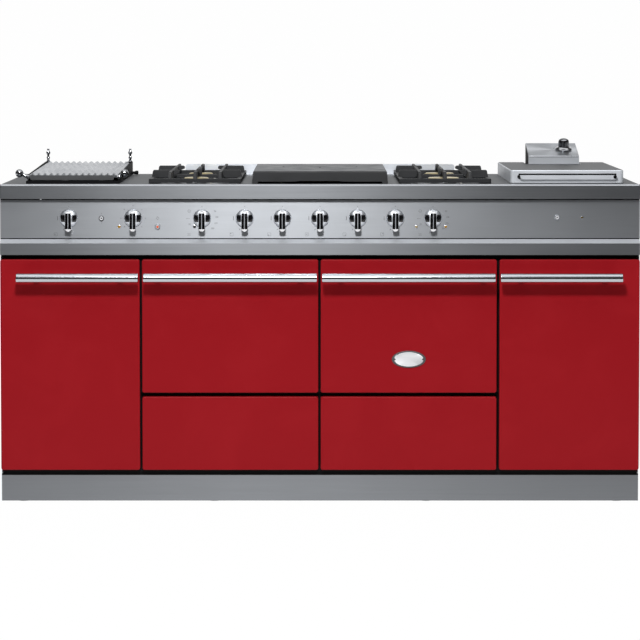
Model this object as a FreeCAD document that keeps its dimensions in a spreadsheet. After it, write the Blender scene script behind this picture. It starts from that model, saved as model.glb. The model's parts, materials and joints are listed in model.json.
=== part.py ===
import FreeCAD, Part
import os

import Sketcher

# Free-standing range cooker, in millimetres. X runs to the right as seen from the front, Y runs
# to the back and Z runs up. The origin is on the floor, under the middle of the whole outline.

doc = FreeCAD.newDocument("RangeCooker")
sheet = doc.addObject("Spreadsheet::Sheet", "Sizes")
nodes = []
rows = []


class Length:
    """A size in millimetres, with the formula on the sheet that it comes from."""

    def __init__(self, value, formula):
        self.value = float(value)
        self.formula = formula

    def __add__(self, other):
        other = length(other)
        return Length(self.value + other.value, f"({self.formula} + {other.formula})")

    def __radd__(self, other):
        return length(other) + self

    def __sub__(self, other):
        other = length(other)
        return Length(self.value - other.value, f"({self.formula} - {other.formula})")

    def __rsub__(self, other):
        return length(other) - self

    def __mul__(self, other):
        other = length(other)
        return Length(self.value * other.value, f"({self.formula} * {other.formula})")

    def __rmul__(self, other):
        return length(other) * self

    def __truediv__(self, other):
        other = length(other)
        return Length(self.value / other.value, f"({self.formula} / {other.formula})")

    def __neg__(self):
        return Length(-self.value, f"(-{self.formula})")


def length(size):
    return size if isinstance(size, Length) else Length(size, f"({size})")


def cell(alias, value):
    """Put a driving dimension on the sheet and give it back with its name."""
    rows.append(alias)
    row = len(rows)
    sheet.set(f"A{row}", alias)
    sheet.set(f"B{row}", str(value))
    sheet.setAlias(f"B{row}", alias)
    return Length(value, f"Sizes.{alias}")


# Outside sizes
width = cell("width", 1800)
depth = cell("depth", 650)
height = cell("height", 900)
handle_reach = cell("handle_reach", 60)
half = width / 2
front = -(depth - handle_reach) / 2
back = front + depth

# Heights of the front, from the floor
plinth_bottom = cell("plinth_bottom", 3)
plinth_top = cell("plinth_top", 80)
door_bottom = cell("door_bottom", 93)
drawer_top = cell("drawer_top", 302)
oven_door_bottom = cell("oven_door_bottom", 312)
door_top = cell("door_top", 690)
rail_bottom = cell("rail_bottom", 700)
rail_edge = cell("rail_edge", 734)
panel_bottom = cell("panel_bottom", 748)
panel_top = cell("panel_top", 855)
worktop_bottom = cell("worktop_bottom", 859)
knob_height = cell("knob_height", 804)
low_lamp_height = cell("low_lamp_height", 780)
high_button_height = cell("high_button_height", 806)
bar_height = cell("bar_height", 640)

# Sheet metal, gaps and the layers of the front, counted back from the front plane
metal = cell("metal", 2)
stout_metal = cell("stout_metal", 3)
body_side = cell("body_side", 900)
door_side = cell("door_side", 899.5)
bay_line = cell("bay_line", 503)
door_gap = cell("door_gap", 6.5)
door_thick = cell("door_thick", 20)
door_radius = cell("door_radius", 6)
edge_radius = cell("edge_radius", 4)
frame_face = cell("frame_face", 22)
frame_back = cell("frame_back", 40)
panel_recess = cell("panel_recess", 15)
plinth_setback = cell("plinth_setback", 20)
service_gap = cell("service_gap", 19)
divider_half = cell("divider_half", 2)
running_gap = cell("running_gap", 0.05)

# Ovens, cupboards and drawers
mouth_inner = cell("mouth_inner", 23)
mouth_outer = cell("mouth_outer", 480)
mouth_bottom = cell("mouth_bottom", 331)
mouth_top = cell("mouth_top", 673)
oven_depth = cell("oven_depth", 560)
rack_level = cell("rack_level", 468)
cupboard_inner = cell("cupboard_inner", 520)
cupboard_outer = cell("cupboard_outer", 880)
shelf_level = cell("shelf_level", 380)
drawer_inner = cell("drawer_inner", 34)
drawer_outer = cell("drawer_outer", 469)
drawer_floor = cell("drawer_floor", 118)
drawer_rim = cell("drawer_rim", 232)
drawer_reach = cell("drawer_reach", 520)

# Hinges: distances behind the front plane and heights of the axes
hinge_side = cell("hinge_side", 894.5)
hinge_back = cell("hinge_back", 12)
oven_hinge_back = cell("oven_hinge_back", 10)
oven_hinge_height = cell("oven_hinge_height", 317)
pin_radius = cell("pin_radius", 2.5)

# Handles
bar_radius = cell("bar_radius", 13)
post_radius = cell("post_radius", 8)

# Knobs
skirt_radius = cell("skirt_radius", 25)
skirt_gap = cell("skirt_gap", 1.5)
shaft_radius = cell("shaft_radius", 3)
grip_up = cell("grip_up", 21)
grip_down = cell("grip_down", 37)
grip_top_width = cell("grip_top_width", 13.5)
grip_low_width = cell("grip_low_width", 18)
grip_height = cell("grip_height", 26)

# Hob
grate_inner = cell("grate_inner", 223)
grate_outer = cell("grate_outer", 484)
grate_front = cell("grate_front", 45)
grate_rear = cell("grate_rear", 607)
burner_x = cell("burner_x", 355)
burner_front = cell("burner_front", 180)
burner_rear = cell("burner_rear", 474)
simmer_half = cell("simmer_half", 192)
simmer_front = cell("simmer_front", 43)
simmer_rear = cell("simmer_rear", 547)
simmer_high = cell("simmer_high", 35)
simmer_middle = cell("simmer_middle", 295)
cup_bore = cell("cup_bore", 24)
jet_drop = cell("jet_drop", 34)
cap_level = cell("cap_level", 17)
rail_high = cell("rail_high", 14)
finger_under = cell("finger_under", 11)
finger_top = cell("finger_top", 33)
finger_nose = cell("finger_nose", 9)
finger_ramp = cell("finger_ramp", 34)
finger_thick = cell("finger_thick", 12)
pipe_radius = cell("pipe_radius", 4)
pipe_height = cell("pipe_height", 800)
low_pipe_height = cell("low_pipe_height", 786)
well_floor = height - 12
pan_floor = height - 22
upstand_half = cell("upstand_half", 409)
upstand_high = cell("upstand_high", 30)
upstand_thick = cell("upstand_thick", 12)

# Ribbed grill
grill_middle = cell("grill_middle", -698.5)
grill_half = cell("grill_half", 131.5)
grill_front = cell("grill_front", 45)
grill_rear = cell("grill_rear", 600)
grill_wall = cell("grill_wall", 8)
side_wall = cell("side_wall", 6)
side_low = cell("side_low", 23)
side_high = cell("side_high", 40)
corner_wide = cell("corner_wide", 13.5)
post_side = cell("post_side", 124)
post_back = cell("post_back", 594.5)
plate_half = cell("plate_half", 124.5)
plate_front = cell("plate_front", 60)
plate_rear = cell("plate_rear", 568)
plate_under = cell("plate_under", 22)
plate_over = cell("plate_over", 28)
rib_pitch = cell("rib_pitch", 17.7)
rib_high = cell("rib_high", 6)
rib_crest = cell("rib_crest", 6)
lift_ball_radius = cell("lift_ball_radius", 11.7)
pivot_back = cell("pivot_back", 560)
pivot_height = cell("pivot_height", 908)
pivot_radius = cell("pivot_radius", 4)
plate_tilt = cell("plate_tilt", 1.5)
tube_height = cell("tube_height", 890)

# Fryer
tank_left = cell("tank_left", 578)
tank_right = cell("tank_right", 820)
tank_front = cell("tank_front", 110)
tank_rear = cell("tank_rear", 560)
tank_bottom = cell("tank_bottom", 770)
lid_left = cell("lid_left", 538)
lid_right = cell("lid_right", 858)
lid_front = cell("lid_front", 55)
lid_rear = cell("lid_rear", 602)
lid_high = cell("lid_high", 38)
head_left = cell("head_left", 622)
head_right = cell("head_right", 773)
head_front = cell("head_front", 478)
head_rear = cell("head_rear", 600)
head_low = cell("head_low", 962)
head_high = cell("head_high", 996)
head_knob_x = cell("head_knob_x", 732)
head_knob_back = cell("head_knob_back", 540)
lid_wire = cell("lid_wire", 2.3)
lid_wire_back = cell("lid_wire_back", 28)
lid_wire_height = cell("lid_wire_height", 927)
lid_foot_height = cell("lid_foot_height", 919)

GAS_KNOBS = {
    "grill_knob": -707,
    "left_rear_knob": -212,
    "left_front_knob": -106,
    "simmer_knob": 0,
    "right_front_knob": 106,
    "right_rear_knob": 212,
}
DIAL_KNOBS = {"timer_knob": -526, "left_oven_knob": -332, "right_oven_knob": 318}
BUTTONS = {
    "grill_spark_button": (-615, knob_height, 7.5),
    "fan_button": (-457, low_lamp_height, 8),
    "fryer_button": (667, high_button_height, 7.5),
}
# How far the grill's ball grips stand from its middle, read off the photograph
LIFT_REACH = {"left": 152.5, "right": 144.5}
LAMPS = {
    "grill_lamp": (-565, low_lamp_height, 4.5),
    "left_oven_lamp": (-353, low_lamp_height, 4),
    "right_oven_lamp": (271, low_lamp_height, 4),
    "right_heat_lamp": (354, low_lamp_height, 4),
    "fryer_lamp": (739, high_button_height, 4),
}
BUTTON_BORE = 5.8
BUTTON_CAP = 5.5
knob_x = {name: cell(f"{name}_x", x) for name, x in {**GAS_KNOBS, **DIAL_KNOBS}.items()}
button_x = {name: cell(f"{name}_x", spot[0]) for name, spot in BUTTONS.items()}
lamp_x = {name: cell(f"{name}_x", spot[0]) for name, spot in LAMPS.items()}

X_AXIS = FreeCAD.Vector(1, 0, 0)
Y_AXIS = FreeCAD.Vector(0, 1, 0)
Z_AXIS = FreeCAD.Vector(0, 0, 1)
TURNS = {
    "x": FreeCAD.Rotation(Y_AXIS, 90),
    "y": FreeCAD.Rotation(X_AXIS, -90),
    "-y": FreeCAD.Rotation(X_AXIS, 90),
    "z": FreeCAD.Rotation(),
}


def bind(thing, sizes):
    for name, size in sizes.items():
        thing.setExpression(name, length(size).formula)


def place(thing, x, y, z, turn=FreeCAD.Rotation()):
    x, y, z = length(x), length(y), length(z)
    thing.Placement = FreeCAD.Placement(FreeCAD.Vector(x.value, y.value, z.value), turn)
    bind(thing, {"Placement.Base.x": x, "Placement.Base.y": y, "Placement.Base.z": z})
    return thing


def block(x0, x1, y0, y1, z0, z1):
    box = doc.addObject("Part::Box", "Block")
    bind(box, {"Length": length(x1) - x0, "Width": length(y1) - y0, "Height": length(z1) - z0})
    return place(box, x0, y0, z0)


def rod(axis, x, y, z, radius, long):
    cylinder = doc.addObject("Part::Cylinder", "Rod")
    bind(cylinder, {"Radius": radius, "Height": long})
    return place(cylinder, x, y, z, TURNS[axis])


def cone(axis, x, y, z, radius, end_radius, long):
    shape = doc.addObject("Part::Cone", "Cone")
    bind(shape, {"Radius1": radius, "Radius2": end_radius, "Height": long})
    return place(shape, x, y, z, TURNS[axis])


def ball(x, y, z, radius, turn=FreeCAD.Rotation()):
    sphere = doc.addObject("Part::Sphere", "Ball")
    bind(sphere, {"Radius": radius})
    return place(sphere, x, y, z, turn)


def strut(start, end, radius, end_radius):
    """A round bar, plain or tapered, between two points."""
    lengths = [(length(b) - a).value for a, b in zip(start, end)]
    run = FreeCAD.Vector(*lengths)
    if length(radius).value == length(end_radius).value:
        shape = doc.addObject("Part::Cylinder", "Strut")
        bind(shape, {"Radius": radius, "Height": run.Length})
    else:
        shape = doc.addObject("Part::Cone", "Strut")
        bind(shape, {"Radius1": radius, "Radius2": end_radius, "Height": run.Length})
    return place(shape, *start, FreeCAD.Rotation(Z_AXIS, run))


def ring(axis, x, y, z, radius, wire):
    torus = doc.addObject("Part::Torus", "Ring")
    bind(torus, {"Radius1": radius, "Radius2": wire})
    return place(torus, x, y, z, TURNS[axis])


def fuse(parts):
    joined = doc.addObject("Part::MultiFuse", "Fused")
    joined.Shapes = parts
    joined.Refine = True
    return joined


def cut(base, tools):
    result = doc.addObject("Part::Cut", "Cut")
    result.Base = base
    result.Tool = tools[0] if len(tools) == 1 else fuse(tools)
    return result


def group(parts):
    """Separate solids that share a node."""
    bundle = doc.addObject("Part::Compound", "Group")
    bundle.Links = parts
    return bundle


def outline(body, role, points):
    """A closed sketch of straight sides whose corners are held by the sheet."""
    plane = [feature for feature in body.Origin.OriginFeatures if feature.Role == role][0]
    sketch = body.newObject("Sketcher::SketchObject", "Outline")
    sketch.AttachmentSupport = [(plane, "")]
    sketch.MapMode = "FlatFace"
    corners = [(length(u), length(v)) for u, v in points]
    spots = [FreeCAD.Vector(u.value, v.value, 0) for u, v in corners]
    count = len(spots)
    for index in range(count):
        side = Part.LineSegment(spots[index], spots[(index + 1) % count])
        sketch.addGeometry(side, False)
    for index in range(count):
        sketch.addConstraint(Sketcher.Constraint("Coincident", index, 2, (index + 1) % count, 1))
    for index, (u, v) in enumerate(corners):
        for kind, size in (("DistanceX", u), ("DistanceY", v)):
            held = sketch.addConstraint(Sketcher.Constraint(kind, -1, 1, index, 1, size.value))
            sketch.setExpression(f"Constraints[{held}]", size.formula)
    return sketch


def profile(role, points, long, fillet=None):
    """A padded outline. With fillet, the edges that run along the pad are rounded."""
    body = doc.addObject("PartDesign::Body", "Profile")
    sketch = outline(body, role, points)
    pad = body.newObject("PartDesign::Pad", "Pad")
    pad.Profile = sketch
    bind(pad, {"Length": long})
    if fillet is not None:
        doc.recompute()
        run = length(long).value
        straight = [
            f"Edge{number}"
            for number, edge in enumerate(pad.Shape.Edges, 1)
            if abs(edge.Length - run) < 0.001 and crosses_pad(edge, role)
        ]
        rounding = body.newObject("PartDesign::Fillet", "Rounding")
        rounding.Base = (pad, straight)
        bind(rounding, {"Radius": fillet})
    return body


def crosses_pad(edge, role):
    direction = (edge.Vertexes[1].Point - edge.Vertexes[0].Point).normalize()
    normal = {"XY_Plane": Z_AXIS, "XZ_Plane": Y_AXIS, "YZ_Plane": X_AXIS}[role]
    return abs(direction.dot(normal)) > 0.999


def panel(x0, x1, y0, y1, z0, z1, radius):
    """An upright panel whose corners are round when it is seen from the front."""
    wide, tall = length(x1) - x0, length(z1) - z0
    corners = [(0, 0), (wide, 0), (wide, tall), (0, tall)]
    body = profile("XZ_Plane", corners, length(y1) - y0, radius)
    return place(body, x0, y1, z0)


def slab(x0, x1, y0, y1, z0, z1, radius):
    """A flat plate whose corners are round when it is seen from above."""
    wide, deep = length(x1) - x0, length(y1) - y0
    corners = [(0, 0), (wide, 0), (wide, deep), (0, deep)]
    body = profile("XY_Plane", corners, length(z1) - z0, radius)
    return place(body, x0, y0, z0)


def turned(points, x, y, z, turn):
    """A lathe profile, given as radius and height, spun about its own upright axis."""
    body = doc.addObject("PartDesign::Body", "Turned")
    sketch = outline(body, "XZ_Plane", points)
    spin = body.newObject("PartDesign::Revolution", "Spin")
    spin.Profile = sketch
    spin.ReferenceAxis = (sketch, ["V_Axis"])
    spin.Angle = 360
    return place(body, x, y, z, turn)


def node(label, thing):
    """Name a finished sub-part, which goes to a file of that name."""
    thing.Label = label
    nodes.append(thing)
    return thing


def span(side, inner, outer):
    """The same stretch on the left (side -1) or on the right (side 1) of the middle."""
    inner, outer = length(inner), length(outer)
    return (inner, outer) if side > 0 else (-outer, -inner)


def behind(distance):
    """The Y of a point that lies this far behind the front plane."""
    return front + distance


SIDES = {"left": -1, "right": 1}
inner_edge = door_gap / 2
oven_edge = bay_line - door_gap / 2 + 0.25
cabinet_edge = bay_line + door_gap / 2


def plinth():
    outside = block(-body_side, body_side, behind(plinth_setback), back - service_gap,
                    plinth_bottom, plinth_top)
    room = block(-body_side + metal, body_side - metal, behind(plinth_setback + metal), back,
                 plinth_bottom - 1, plinth_top + 1)
    node("plinth", cut(outside, [room]))


def adjustable_feet():
    feet = []
    for x in (-840, -300, 300, 840):
        for y in (behind(60), back - 80):
            pad = cone("z", x, y, 0, 26, 22, 8)
            stud = rod("z", x, y, 8, 8, plinth_top - 8)
            nut = rod("z", x, y, 60, 13, 8)
            feet.append(fuse([pad, stud, nut]))
    node("adjustable_feet", group(feet))


def chassis():
    """Welded carcass: floor, back wall, three dividers and the deck above the ovens."""
    inside = body_side - stout_metal
    rear = back - service_gap
    walls = [
        block(-inside, inside, behind(frame_back), rear, plinth_top, plinth_top + 4),
        block(-inside, inside, behind(frame_face), rear, panel_bottom - 3, panel_bottom),
        block(-inside, inside, rear - metal, rear, plinth_top, worktop_bottom + 30),
    ]
    for line in (-bay_line, length(0), bay_line):
        walls.append(block(line - divider_half, line + divider_half, behind(frame_back), rear,
                           plinth_top, panel_bottom))
    inlet_hole = rod("y", 540, rear - 10, 768, 12, 20)
    wall_holes = [rod("y", x, rear - 10, 820, 4, 20) for x in (-850, 850)]
    node("chassis", cut(fuse(walls), [inlet_hole] + wall_holes))


def side_panels():
    """A skin on each side with a tongue that stands inside the worktop's folded edge."""
    skins = []
    rear = back - service_gap
    for side in SIDES.values():
        x0, x1 = span(side, body_side - stout_metal, body_side)
        skin = block(x0, x1, behind(frame_face), rear, plinth_top, worktop_bottom)
        notch = block(x0 - 1, x1 + 1, front, behind(frame_back), panel_bottom, panel_top)
        t0, t1 = span(side, body_side - stout_metal * 2, body_side - stout_metal)
        tongue = block(t0, t1, behind(frame_back), rear - metal, worktop_bottom - 14,
                       height - stout_metal)
        skins.append(fuse([cut(skin, [notch]), tongue]))
    node("side_panels", group(skins))


def front_frame():
    """Black frame behind the doors, with a mouth for each bay."""
    inside = body_side - stout_metal
    y0, y1 = behind(frame_face), behind(frame_back)
    plate = block(-inside, inside, y0, y1, plinth_top, panel_bottom - 3)
    mouths = []
    for side in SIDES.values():
        oven = span(side, mouth_inner, mouth_outer)
        cupboard = span(side, cupboard_inner, cupboard_outer)
        drawer = span(side, 18, 485)
        mouths.append(block(*oven, y0 - 1, y1 + 1, mouth_bottom, mouth_top))
        mouths.append(block(*cupboard, y0 - 1, y1 + 1, 108, 675))
        mouths.append(block(*drawer, y0 - 1, y1 + 1, 110, 288))
    node("front_frame", cut(plate, mouths))


def worktop():
    """Folded top with a deep edge all round and an opening for each cooking zone."""
    top = slab(-half, half, front, back, worktop_bottom, height, edge_radius)
    under = block(-half + stout_metal, half - stout_metal, front + stout_metal,
                  back - stout_metal, worktop_bottom - 1, height - stout_metal)
    wells = [
        block(grill_middle - grill_half + 12, grill_middle + grill_half - 12, behind(62),
              behind(584), height - 10, height + 10),
        block(-165, 165, behind(60), behind(530), height - 10, height + 10),
        block(tank_left, tank_right, behind(tank_front), behind(tank_rear),
              height - 10, height + 10),
    ]
    for side in SIDES.values():
        x0, x1 = span(side, grate_inner + 5, grate_outer - 5)
        wells.append(block(x0, x1, behind(grate_front + 5), behind(grate_rear - 5),
                           height - 10, height + 10))
    node("worktop", cut(top, [under] + wells))


def rear_upstand():
    plate = panel(-upstand_half, upstand_half, back - upstand_thick, back,
                  height, height + upstand_high, 8)
    foot = block(-upstand_half, upstand_half, back - upstand_thick, back, height, height + 10)
    node("rear_upstand", fuse([plate, foot]))


def control_panel():
    """Folded channel with holes for the shafts, buttons and lamps."""
    tall = panel_top - panel_bottom
    deep = frame_back - panel_recess
    corners = [(0, 0), (deep, 0), (deep, stout_metal), (stout_metal, stout_metal),
               (stout_metal, tall - stout_metal), (deep, tall - stout_metal), (deep, tall),
               (0, tall)]
    channel = profile("YZ_Plane", corners, body_side * 2)
    place(channel, -body_side, behind(panel_recess), panel_bottom)
    holes = []
    y = behind(panel_recess - 1)
    for x in knob_x.values():
        holes.append(rod("y", x, y, knob_height, 5, 5))
    for name, x in button_x.items():
        holes.append(rod("y", x, y, BUTTONS[name][1], BUTTON_BORE, 5))
    for name, x in lamp_x.items():
        holes.append(rod("y", x, y, LAMPS[name][1], 3, 5))
    node("control_panel", cut(channel, holes))


def lower_rail():
    """Hollow rail whose top slopes back to the foot of the control panel."""
    edge = rail_edge - rail_bottom
    tall = panel_bottom - rail_bottom
    corners = [(0, 0), (frame_face, 0), (frame_face, metal), (metal, metal),
               (metal, edge - 1), (panel_recess + 1, tall - metal), (frame_face, tall - metal),
               (frame_face, tall), (panel_recess, tall), (0, edge)]
    rail = profile("YZ_Plane", corners, door_side * 2)
    node("lower_rail", place(rail, -door_side, front, rail_bottom))


def oven_cavity(name, side):
    """Enamelled box, open at the front, with a runner for the rack on each side."""
    x0, x1 = span(side, mouth_inner, mouth_outer)
    y0, y1 = behind(frame_back), behind(oven_depth)
    outside = block(x0 - stout_metal, x1 + stout_metal, y0, y1 + stout_metal,
                    mouth_bottom - stout_metal, mouth_top + stout_metal)
    room = block(x0, x1, y0 - 1, y1, mouth_bottom, mouth_top)
    shell = cut(outside, [room])
    runners = []
    for level in (rack_level - 4, rack_level + 96):
        for edge, inward in ((x0, 10), (x1 - 10, 10)):
            runners.append(block(edge, edge + inward, y0 + 20, y1, level, level + 4))
    node(f"{name}_oven_cavity", fuse([shell] + runners))


def cupboard_shelves():
    shelves = []
    for side in SIDES.values():
        x0, x1 = span(side, bay_line + divider_half, body_side - stout_metal)
        plate = block(x0, x1, behind(60), behind(500), shelf_level, shelf_level + metal)
        lip = block(x0, x1, behind(60), behind(60) + metal, shelf_level - 14, shelf_level + metal)
        shelves.append(fuse([plate, lip]))
    node("cupboard_shelves", group(shelves))


def oven_racks():
    """A wire rack in each oven: a frame of rod with rods across."""
    racks = []
    level = rack_level + 3
    for side in SIDES.values():
        x0, x1 = span(side, mouth_inner + 2, mouth_outer - 2)
        y0, y1 = behind(70), behind(540)
        wires = [
            block(x0, x1, y0, y0 + 6, level - 3, level + 3),
            block(x0, x1, y1 - 6, y1, level - 3, level + 3),
            block(x0, x0 + 6, y0, y1, level - 3, level + 3),
            block(x1 - 6, x1, y0, y1, level - 3, level + 3),
        ]
        for number in range(1, 12):
            x = x0 + (x1 - x0) * number / 12
            wires.append(rod("y", x, y0 + 3, level, 2, y1 - y0 - 6))
        racks.append(fuse(wires))
    node("oven_racks", group(racks))


def oven_fans():
    """A fan wheel on its motor shaft at the back of each oven."""
    fans = []
    middle = (mouth_bottom + mouth_top) / 2
    hub_radius, wheel_radius, blade_long = 12, 60, 38
    y = behind(oven_depth) - 14
    for side in SIDES.values():
        x = (mouth_inner + mouth_outer) / 2 * side
        wheel = [rod("y", x, y, middle, hub_radius, 14), rod("y", x, y + 8, middle, wheel_radius, 2)]
        for angle in range(0, 360, 45):
            spin = FreeCAD.Rotation(Y_AXIS, angle)
            root = spin.multVec(FreeCAD.Vector(wheel_radius - blade_long - 2, 0, -1))
            blade = doc.addObject("Part::Box", "Blade")
            bind(blade, {"Length": blade_long, "Width": 10, "Height": 2})
            wheel.append(place(blade, x + root.x, y, middle + root.z, spin))
        fans.append(fuse(wheel))
    node("oven_fans", group(fans))


def heating_elements():
    """Ring round each oven fan and a loop in the fryer tank."""
    middle = (mouth_bottom + mouth_top) / 2
    elements = []
    for side in SIDES.values():
        x = (mouth_inner + mouth_outer) / 2 * side
        loop = ring("y", x, behind(oven_depth) - 12, middle, 85, 4)
        lead = rod("y", x, behind(oven_depth) - 12, middle + 85, 3, 12)
        elements.append(fuse([loop, lead]))
    loops = []
    for x in (tank_left + 50, tank_right - 50):
        loops.append(rod("y", x, behind(tank_front + 60), tank_bottom + 30, 4, 320))
    for y in (behind(tank_front + 62), behind(tank_front + 376)):
        loops.append(rod("x", tank_left + 45, y, tank_bottom + 30, 5,
                         tank_right - tank_left - 90))
    riser = rod("z", (head_left + head_right) / 2, behind(tank_front + 376), tank_bottom + 30,
                4, height + 2 - tank_bottom - 30)
    elements.append(fuse(loops + [riser]))
    node("heating_elements", group(elements))


def indicator_lamps():
    """Lamp lenses on the panel, and the metal rings round the buttons and the last lamp."""
    face = behind(panel_recess)
    items = []
    for name, x in lamp_x.items():
        z, radius = LAMPS[name][1:]
        lens = fuse([rod("y", x, face - 2.5, z, radius, 2.5), rod("y", x, face, z, 2.9, 14)])
        items.append(lens)
    for name, x in button_x.items():
        z, radius = BUTTONS[name][1:]
        rim = rod("y", x, face - 3, z, radius, 3)
        items.append(cut(rim, [rod("y", x, face - 4, z, BUTTON_BORE, 5)]))
    node("indicator_lamps", group(items))


def hob_well(side):
    """Pressed tray under a grate, with a lip on the worktop and a hole for each burner."""
    x0, x1 = span(side, grate_inner, grate_outer)
    lip = block(x0, x1, behind(grate_front - 1), behind(grate_rear + 1), height, height + 1)
    pan = block(x0 + 5, x1 - 5, behind(grate_front + 5), behind(grate_rear - 5),
                height - 14, height + 1)
    room = block(x0 + 5 + metal, x1 - 5 - metal, behind(grate_front + 5) + metal,
                 behind(grate_rear - 5) - metal, height - 14 + metal, height + 2)
    holes = [rod("z", burner_x * side, behind(spot), height - 20, cup_bore, 20)
             for spot in (burner_front, burner_rear)]
    return cut(fuse([lip, pan]), [room] + holes)


def burner_trays():
    trays = [hob_well(side) for side in SIDES.values()]
    pan = block(-165, 165, behind(60), behind(530), height - 24, height)
    room = block(-163, 163, behind(62), behind(528), height - 22, height + 1)
    hole = rod("z", 0, behind(simmer_middle), height - 30, cup_bore, 20)
    trays.append(cut(pan, [room, hole]))
    node("burner_trays", group(trays))


def burners():
    """A cup, a crown and a cap for each burner, with its electrode beside it."""
    spots = [
        (-burner_x, burner_front, well_floor, 30, 36),
        (-burner_x, burner_rear, well_floor, 30, 36),
        (burner_x, burner_front, well_floor, 38, 45.5),
        (burner_x, burner_rear, well_floor, 38, 45),
        (length(0), simmer_middle, pan_floor, 48, 56),
    ]
    bases, caps = [], []
    for x, spot, floor, crown_radius, cap_radius in spots:
        y = behind(spot)
        cup = rod("z", x, y, floor - 28, cup_bore - 0.5, 28)
        flange = rod("z", x, y, floor, crown_radius, 4)
        crown = cone("z", x, y, floor + 4, crown_radius - 3, crown_radius - 1, cap_level - 4)
        jet = rod("z", x, y, floor - jet_drop, 8, jet_drop - 28)
        bases.append(fuse([cup, flange, crown, jet]))
        spark = rod("z", x + cap_radius + 5, y, floor, 3, 13)
        tip = rod("z", x + cap_radius + 5, y, floor + 13, 1.2, 6)
        bases.append(fuse([spark, tip]))
        points = [(0, 0), (cap_radius - 1, 0), (cap_radius, 1.5), (cap_radius, 4),
                  (cap_radius - 3, 6.5), (cap_radius * 0.6, 7), (0, 7)]
        caps.append(turned(points, x, y, floor + cap_level, FreeCAD.Rotation()))
    tubes = []
    for offset in (-55, 55):
        tubes.append(rod("y", grill_middle + offset, behind(100), tube_height, 7, 420))
    tubes.append(rod("x", grill_middle - 66, behind(112), tube_height, 8, 132))
    bases.append(fuse(tubes))
    node("burner_bases", group(bases))
    node("burner_caps", group(caps))


def gas_manifold():
    """Supply pipe behind the panel, its inlet at the back, and a pipe to each burner."""
    supply = [
        rod("x", knob_x["grill_knob"] - 20, behind(75), 768, 9, 1267),
        rod("y", 540, behind(75), 768, 9, back - service_gap - behind(75)),
        rod("y", 540, back - service_gap, 768, 10.5, 17),
        ball(540, behind(75), 768, 9),
    ]
    pipes = []
    routes = [
        ("left_rear_knob", -burner_x, burner_rear, well_floor - jet_drop),
        ("left_front_knob", -burner_x, burner_front, well_floor - jet_drop),
        ("simmer_knob", length(0), simmer_middle, pan_floor - jet_drop),
        ("right_front_knob", burner_x, burner_front, well_floor - jet_drop),
        ("right_rear_knob", burner_x, burner_rear, well_floor - jet_drop),
        ("grill_knob", grill_middle, length(112), tube_height - 8),
    ]
    for number, (name, x, spot, top) in enumerate(routes):
        tap = knob_x[name]
        low = low_pipe_height if spot is burner_rear else pipe_height
        start, turn, reach = behind(62), behind(88 + 12 * number), behind(spot)
        if name == "grill_knob":
            turn = behind(88)
        parts = [rod("y", tap, start, low, pipe_radius, turn - start),
                 ball(tap, turn, low, pipe_radius), ball(x, turn, low, pipe_radius),
                 rod("y", x, turn, low, pipe_radius, reach - turn),
                 ball(x, reach, low, pipe_radius),
                 rod("z", x, reach, low, pipe_radius, top - low)]
        if abs(x.value - tap.value) > 1:
            x0, run = (tap, x - tap) if x.value > tap.value else (x, tap - x)
            parts.append(rod("x", x0, turn, low, pipe_radius, run))
        pipes.append(fuse(parts))
    node("gas_manifold", group([fuse(supply)] + pipes))


def valve(x, y0, long, radius):
    """A control body behind the panel with its shaft through the panel."""
    body = rod("y", x, y0, knob_height, radius, long)
    shaft = rod("y", x, behind(3), knob_height, shaft_radius, y0 - behind(3))
    return [body, shaft]


def gas_taps():
    taps = []
    for name in GAS_KNOBS:
        x = knob_x[name]
        leg = block(x - 7, x + 7, behind(44), behind(62), 776.5, knob_height)
        foot = block(x - 7, x + 7, behind(44), behind(66), 764, 777)
        taps.append(fuse(valve(x, behind(20), 42, 13) + [leg, foot]))
    node("gas_taps", group(taps))


def thermostats():
    """Two oven thermostats, the timer and the fryer control, each with its shaft."""
    bodies = [fuse(valve(knob_x[name], behind(20), 34, 20)) for name in DIAL_KNOBS]
    shaft = doc.addObject("Part::Cylinder", "Rod")
    bind(shaft, {"Radius": shaft_radius, "Height": 26})
    place(shaft, head_knob_x, fryer_point(-14)[0], fryer_point(-14)[1], fryer_turn)
    bodies.append(shaft)
    node("thermostats", group(bodies))


# The fryer knob stands square to the sloping top of its head.
slope_rise = head_high - head_low
slope_run = head_rear - head_front
slope_long = (slope_rise.value ** 2 + slope_run.value ** 2) ** 0.5
slope_sine = slope_rise.value / slope_long
slope_cosine = slope_run.value / slope_long
fryer_turn = FreeCAD.Rotation(Z_AXIS, FreeCAD.Vector(0, -slope_sine, slope_cosine))


def fryer_point(up):
    """The Y and Z of a point this far above the slope, on the axis of the fryer knob."""
    z = head_low + slope_rise * (head_knob_back - head_front) / slope_run
    return behind(head_knob_back) - slope_sine * up, z + slope_cosine * up


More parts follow.
